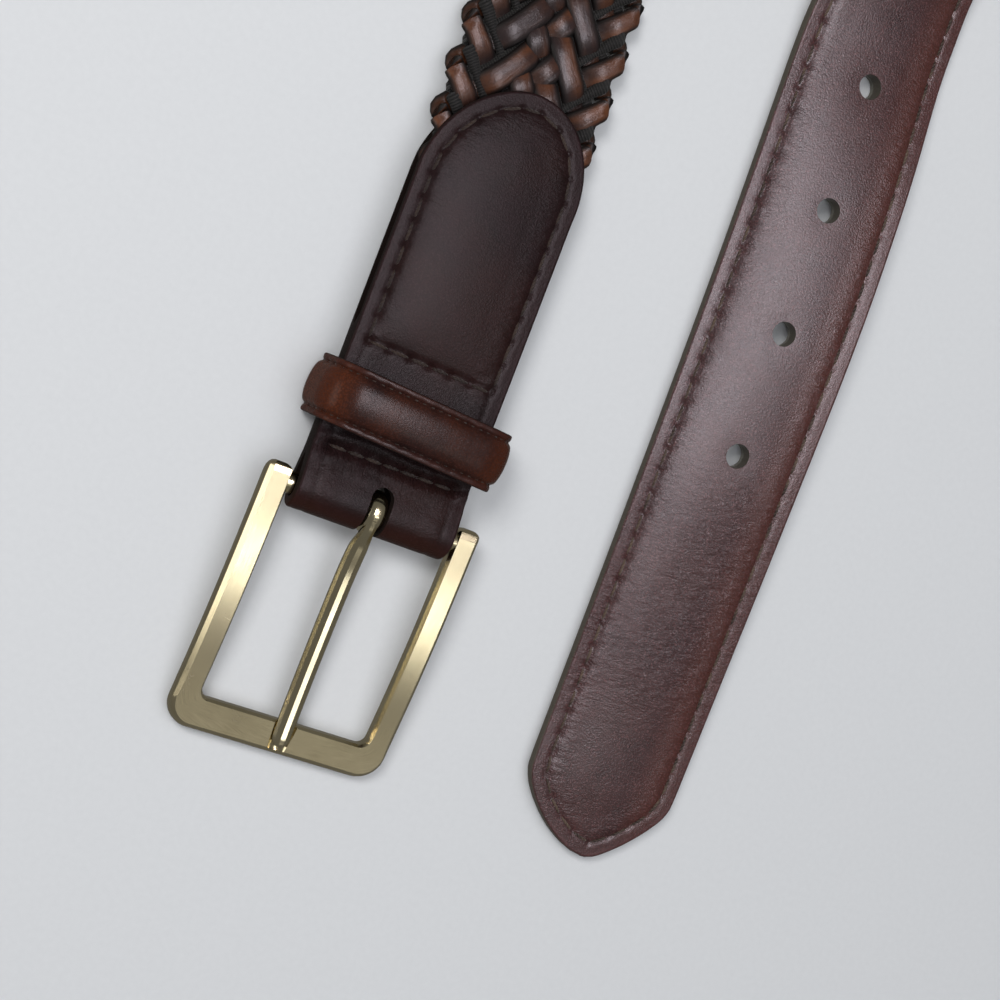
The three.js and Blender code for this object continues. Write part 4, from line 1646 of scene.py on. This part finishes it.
@dataclass
class BuckleFrame:
    """The cast frame: two side bars and an end bar in one piece, with the round heel bar."""

    half_width: float = 21.8
    bar: float = 4.8
    end: float = -48.5
    end_bar: float = 6.5
    heel: float = 3.0
    corner: float = 5.0
    inner_corner: float = 1.8
    half_height: float = 1.8
    top_at_bar: float = 6.6
    tilt: float = 5.6
    arch: float = 1.0
    bar_radius: float = 2.1
    bar_bite: float = 2.4
    notch_radius: float = 2.45
    notch_depth: float = 1.1
    notch_x: float = 0.5
    notch_y: float = -45.0
    softness: float = 0.2

    def middle(self, y: Array) -> Array:
        """The frame's middle height by the distance from the heel bar."""
        y = np.asarray(y, float)
        fall = self.top_at_bar + y * math.tan(math.radians(self.tilt))
        return fall + self.arch * np.sin(math.pi * np.clip(y / self.end, 0, 1))

    def notch_floor(self) -> float:
        """The height that the prong rests at on the end bar."""
        return float(self.middle(self.notch_y)) + self.half_height - self.notch_depth

    def stations(self) -> list[tuple[Array, Array, float]]:
        """Outer and inner points of the right half, from the heel to the middle of the end bar."""
        inner, inner_end = self.half_width - self.bar, self.end + self.end_bar
        heel_ys = [(self.heel, 0.42), (2.75, 0.68), (2.35, 0.85), (1.7, 0.96), (1.0, 1.0)]
        made = [(np.array([self.half_width, y]), np.array([inner, y]), full) for y, full in heel_ys]
        for y in np.arange(0, -42, -2.0):
            made.append((np.array([self.half_width, y]), np.array([inner, y]), 1.0))
        for i in range(0, 25):
            a = math.radians(90 * i / 24)
            out = [self.half_width - self.corner + self.corner * math.cos(a),
                   self.end + self.corner - self.corner * math.sin(a)]
            into = [inner - self.inner_corner + self.inner_corner * math.cos(a),
                    inner_end + self.inner_corner - self.inner_corner * math.sin(a)]
            made.append((np.array(out), np.array(into), 1.0))
        for x in (13.0, 10.0, 7.0, 4.5, 2.5, 0.8):
            made.append((np.array([x, self.end]), np.array([x, inner_end]), 1.0))
        return made

    def section(self, w: float) -> Array:
        """The bar's section by its width: flat top, wide outer bevel, narrow inner one."""
        h = self.half_height
        return np.array([
            [0, -1.0], [0, 1.0], [0.5, h], [w - 1.0, h], [w - 0.25, 1.05], [w, 0.3], [w, -0.9],
            [w - 0.9, -h], [0.7, -h],
        ])

    def build(self, metal: bpy.types.Material) -> None:
        """Makes the frame.

        Args:
            metal: its material.
        """
        half = self.stations()
        mirror = [(o * [-1, 1], n * [-1, 1], full) for o, n, full in half[::-1]]
        rings, marks, run, last = [], [], 0.0, None
        for out, into, full in half + mirror:
            way = out - into
            w = float(np.linalg.norm(way))
            way = way / w
            middle = (out + into) / 2
            run += 0.0 if last is None else float(np.linalg.norm(middle - last))
            last = middle
            cut = (1 - full) * w * 0.5
            shape = self.section(w)
            a = np.clip(shape[:, 0], cut, w - cut)
            y = into[1] + way[1] * a
            z = self.middle(y) + shape[:, 1] * full
            rings.append(np.stack([into[0] + way[0] * a, PATH.bar_y + y, z], axis=1))
            top = (shape[:, 1] > 1.2).astype(float)
            marks.append(np.stack([np.full(len(a), run), a, top], axis=1))
        faces = tube_faces(len(rings), len(rings[0]))
        fields = {"bar": np.concatenate(marks)}
        made = mesh_object("frame_metal", np.concatenate(rings), faces, fields, sharp=60)
        combine(made, Solid.JOINED, self.heel_bar())
        combine(made, Solid.CUT_OUT, self.notch_cutter())
        soften(made, self.softness)
        dress(made, metal, Body.FRAME, "buckle_frame", "buckle_frame")

    def heel_bar(self) -> bpy.types.Object:
        """The round bar that the leather folds over."""
        z = PATH.bar_height()
        angle = angles_round(40)
        ring = self.bar_radius * np.stack([0 * angle, np.cos(angle), np.sin(angle)], axis=1)
        reach = self.half_width - self.bar + self.bar_bite
        return prism(ring, np.array([-reach, PATH.bar_y, z]), np.array([reach, PATH.bar_y, z]))

    def notch_cutter(self) -> bpy.types.Object:
        """The round notch in the end bar."""
        angle = angles_round(48)
        r = self.notch_radius
        ring = np.stack([r * np.cos(angle), 0 * angle, r * np.sin(angle)], axis=1)
        z = self.notch_floor() + r
        near, far = PATH.bar_y + self.end + 0.9, PATH.bar_y + self.end + self.end_bar + 4
        return prism(ring, np.array([self.notch_x, near, z]), np.array([self.notch_x, far, z]))


def soften(piece: bpy.types.Object, width: float) -> None:
    """Rounds a metal piece's sharp edges, by a width in millimetres."""
    work = bmesh.new()
    work.from_mesh(piece.data)
    bmesh.ops.dissolve_limit(work, angle_limit=math.radians(FLAT_ANGLE), verts=work.verts, edges=work.edges)
    work.to_mesh(piece.data)
    work.free()
    for edge in piece.data.edges:
        edge.use_edge_sharp = False
    change = piece.modifiers.new("soften", "BEVEL")
    change.width, change.segments, change.limit_method = width * MM, SOFT_SEGMENTS, "ANGLE"
    change.angle_limit, change.use_clamp_overlap = math.radians(SOFT_ANGLE), True
    piece.data.shade_smooth()
    even = piece.modifiers.new("even", "WEIGHTED_NORMAL")
    even.mode, even.weight = "FACE_AREA", FACE_WEIGHT
    apply_modifiers(piece)


@dataclass
class Prong:
    """The prong: a ring round the heel bar and a faceted shank with a rounded tip."""

    half_width: float = 1.9
    ring: float = 4.2
    bore: float = 2.4
    bore_reach: float = 6.0
    half_thick: float = 1.15
    tip: float = -46.8
    side: float = 0.5
    rest_gap: float = 0.3
    softness: float = 0.16
    section: tuple = (
        (-0.26, 1), (0.26, 1), (0.78, 0.55), (1, 0.05), (1, -0.5), (0.55, -1),
        (-0.55, -1), (-1, -0.5), (-1, 0.05), (-0.78, 0.55),
    )

    def heights(self, rest: float, axis: float) -> tuple:
        """The shank's middle line by the distance from the heel bar."""
        line = ((0.6, axis + 3.0), (-3, axis + 2.5), (-6.6, axis + 1.0), (-12.5, axis - 0.05),
                (-24, 5.3), (-34.7, 4.8), (-41, rest + 0.05), (-45, rest))
        return tuple((-a, b) for a, b in line)

    def build(self, metal: bpy.types.Material, holder: BuckleFrame) -> None:
        """Makes the prong.

        Args:
            metal: its material.
            holder: the frame, whose notch it rests in.
        """
        axis = PATH.bar_height()
        made = self.shank(axis, holder.notch_floor() + self.rest_gap + self.half_thick)
        combine(made, Solid.JOINED, self.barrel(self.ring, self.half_width, axis, True))
        combine(made, Solid.CUT_OUT, self.barrel(self.bore, self.bore_reach, axis, False))
        soften(made, self.softness)
        dress(made, metal, Body.PRONG, "prong", "prong")

    def shank(self, axis: float, rest: float) -> bpy.types.Object:
        """The faceted shank without its ring.

        Args:
            axis: the heel bar's height.
            rest: the height that its tip rests at.

        Returns:
            The shank.
        """
        ys = np.concatenate([np.arange(0.6, -44, -0.8), self.tip + 2.2 * np.linspace(1, 0, 12) ** 1.8])
        near = np.clip((ys - self.tip) / 2.0, 0, 1)
        round_tip = np.sqrt(np.maximum(0.02, 1 - (1 - near) ** 2))
        neck = 1 - 0.30 * np.exp(-(((ys + 3.4) / 2.4) ** 2))
        wide = (self.half_width - 0.1 * np.clip(-ys / 44, 0, 1)) * round_tip * neck
        thick = self.half_thick * (0.55 + 0.45 * round_tip)
        x = self.side * np.clip(-ys / 45, 0, 1) ** 1.5
        z = keyed(self.heights(rest, axis), -ys)
        section = np.array(self.section)
        rings = np.stack([
            x[:, None] + section[None, :, 0] * wide[:, None],
            np.broadcast_to((PATH.bar_y + ys)[:, None], (len(ys), len(section))),
            z[:, None] + section[None, :, 1] * thick[:, None],
        ], axis=-1)
        marks = np.zeros(rings.shape)
        marks[..., 0], marks[..., 1] = -ys[:, None], section[None, :, 0] * self.half_width
        return mesh_object("prong_metal", rings, tube_faces(*rings.shape[:2]), {"bar": marks}, sharp=60)

    def barrel(self, radius: float, reach: float, axis: float, crowned: bool) -> bpy.types.Object:
        """A round solid along the heel bar, with a crowned face if it is the ring."""
        xs = np.linspace(-reach, reach, 13 if crowned else 2)
        fall = 0.9 * np.abs(xs / reach) ** 3 if crowned else np.zeros(2)
        angle = angles_round(56)
        r = (radius - fall)[:, None]
        rings = np.stack([
            np.broadcast_to(xs[:, None], (len(xs), len(angle))),
            PATH.bar_y + r * np.cos(angle), axis + r * np.sin(angle),
        ], axis=-1)
        return mesh_object("barrel", rings, tube_faces(*rings.shape[:2]))


@dataclass(frozen=True)
class Softbox:
    """One rectangular light, in metres and watts."""

    name: str
    place: tuple
    aim: tuple
    size: tuple
    power: float
    colour: tuple
    lights_matt: bool = False
    shows_in_gloss: bool = False

    def hang(self) -> None:
        """Adds the light, turned to face its aim."""
        data = bpy.data.lights.new(self.name, "AREA")
        data.shape, (data.size, data.size_y) = "RECTANGLE", self.size
        data.energy, data.color = self.power, self.colour
        made = bpy.data.objects.new(self.name, data)
        made.location = self.place
        made.visible_diffuse, made.visible_glossy = self.lights_matt, self.shows_in_gloss
        made.rotation_euler = (Vector(self.aim) - Vector(self.place)).to_track_quat("-Z", "Y").to_euler()
        bpy.context.scene.collection.objects.link(made)


@dataclass
class Studio:
    """The pale floor, the soft lights and the camera at the photograph's angle."""

    lens: float = 72.0
    sensor: float = 36.0
    place: tuple = (-0.1298, 0.0048, 0.3468)
    right: tuple = (0.8539, 0.3653, 0.3708)
    down: tuple = (0.3211, -0.9303, 0.1770)
    ahead: tuple = (0.4097, -0.0321, -0.9117)
    floor_half: float = 2500.0
    floor_height: float = -0.05
    sky: tuple = (0.90, 0.88, 0.84, 1)
    sky_strength: float = 0.16
    lights: tuple = (
        Softbox(
            "overhead", (0.0, 0.1, 1.2), (0.0, 0.1, 0.0), (1.6, 1.6), 10.5, (0.97, 0.98, 1.0),
            lights_matt=True),
        Softbox(
            "key", (-0.55, 0.30, 0.75), (0.02, 0.03, 0.0), (0.3, 0.3), 4.4, (1.0, 0.98, 0.95),
            lights_matt=True),
        Softbox(
            "sheen", (0.19, 0.15, 1.0), (0.19, 0.15, 0.0), (0.27, 0.46), 5.2, (0.99, 0.93, 1.0),
            shows_in_gloss=True),
        Softbox(
            "window", (0.39, -0.262, 1.0), (0.39, -0.262, 0.0), (0.32, 0.12), 0.46, (1.0, 1.0, 0.98),
            shows_in_gloss=True),
        Softbox(
            "low", (0.45, -0.64, 1.0), (0.45, -0.64, 0.0), (0.4, 0.16), 0.07, (1.0, 0.97, 0.90),
            shows_in_gloss=True),
        Softbox(
            "side", (-0.83, -0.05, 0.30), (0.0, 0.0, 0.0), (0.5, 0.4), 1.3, (1.0, 0.97, 0.92),
            shows_in_gloss=True),
    )

    def build(self) -> None:
        """Makes the floor, the camera, the lights and the sky's even light."""
        self.floor()
        self.camera()
        for light in self.lights:
            light.hang()
        bpy.context.scene.view_settings.view_transform = "Standard"
        world = bpy.data.worlds.new("studio")
        world.use_nodes = True
        shade = world.node_tree.nodes["Background"]
        shade.inputs[0].default_value, shade.inputs[1].default_value = self.sky, self.sky_strength
        bpy.context.scene.world = world

    def floor(self) -> None:
        """Adds the floor under the belt."""
        size = self.floor_half
        corners = np.array([[-size, -size, 0], [size, -size, 0], [size, size, 0], [-size, size, 0]])
        made = mesh_object("floor", corners + [0, 0, self.floor_height], [[0, 1, 2, 3]])
        made.data.materials.append(PaleFloor().make())
        made.visible_glossy = False

    def camera(self) -> None:
        """Adds the camera, placed from the photograph."""
        data = bpy.data.cameras.new("camera")
        data.lens, data.sensor_width = self.lens, self.sensor
        data.clip_start, data.clip_end = 0.01, 20.0
        made = bpy.data.objects.new("camera", data)
        bpy.context.scene.collection.objects.link(made)
        axes = [Vector(self.right), -Vector(self.down), -Vector(self.ahead)]
        turn = Matrix([list(a) for a in axes]).transposed()
        made.matrix_world = Matrix.Translation(Vector(self.place)) @ turn.to_4x4()
        bpy.context.scene.camera = made


def main() -> None:
    """Builds the belt, one sub-assembly after another, and the studio round it."""
    logging.basicConfig(level=logging.INFO, format="%(name)s: %(message)s")
    Studio().build()
    # The tab and the tip are one leather; the tab's darker colours are painted shade, as it lies in less
    # light than the tip.
    tab_leather = BridleLeather(
        "tab_leather", roughness=0.32, warmth=0.30, seam=3.0, gathers=8.8, grain=0.036)
    keeper_leather = BridleLeather(
        "keeper_leather", base=(0.030, 0.0108, 0.009), warm=(0.095, 0.024, 0.009), roughness=0.22,
        warmth=0.5, grain=0.012, fan=0.04, coat=0.06, gloss=0.12, seam=1.45, warm_ends=15.0)
    tip_leather = BridleLeather(
        "tip_leather", base=(0.053, 0.0190, 0.0200), deep=(0.025, 0.0080, 0.0086),
        warm=(0.088, 0.022, 0.014), edge=(0.075, 0.065, 0.050), roughness=0.27, coat=0.24,
        gloss=0.46, grain=0.044, glint_paint=0.66, warmth=0.20, red_side=-13.0, creases=0.60,
        crease_range=(24.0, 92.0))
    prong_brass = SatinBrass("prong_brass", gold=(0.68, 0.61, 0.42), roughness=0.23, brushed=0.4)
    thread = WaxedThread("thread").make()
    tan_thread = WaxedThread("tan_thread", light=(0.120, 0.080, 0.055)).make()
    BuckleTab().build(tab_leather.make(), thread)
    Braid().build(LacingLeather().make(), RibbedCord().make())
    Keeper().build(keeper_leather.make(), thread)
    PunchedEnd().build(tip_leather.make(), SuedeLining().make(), tan_thread)
    holder = BuckleFrame()
    holder.build(SatinBrass("frame_brass").make())
    Prong().build(prong_brass.make(), holder)


if __name__ == "__main__":
    main()
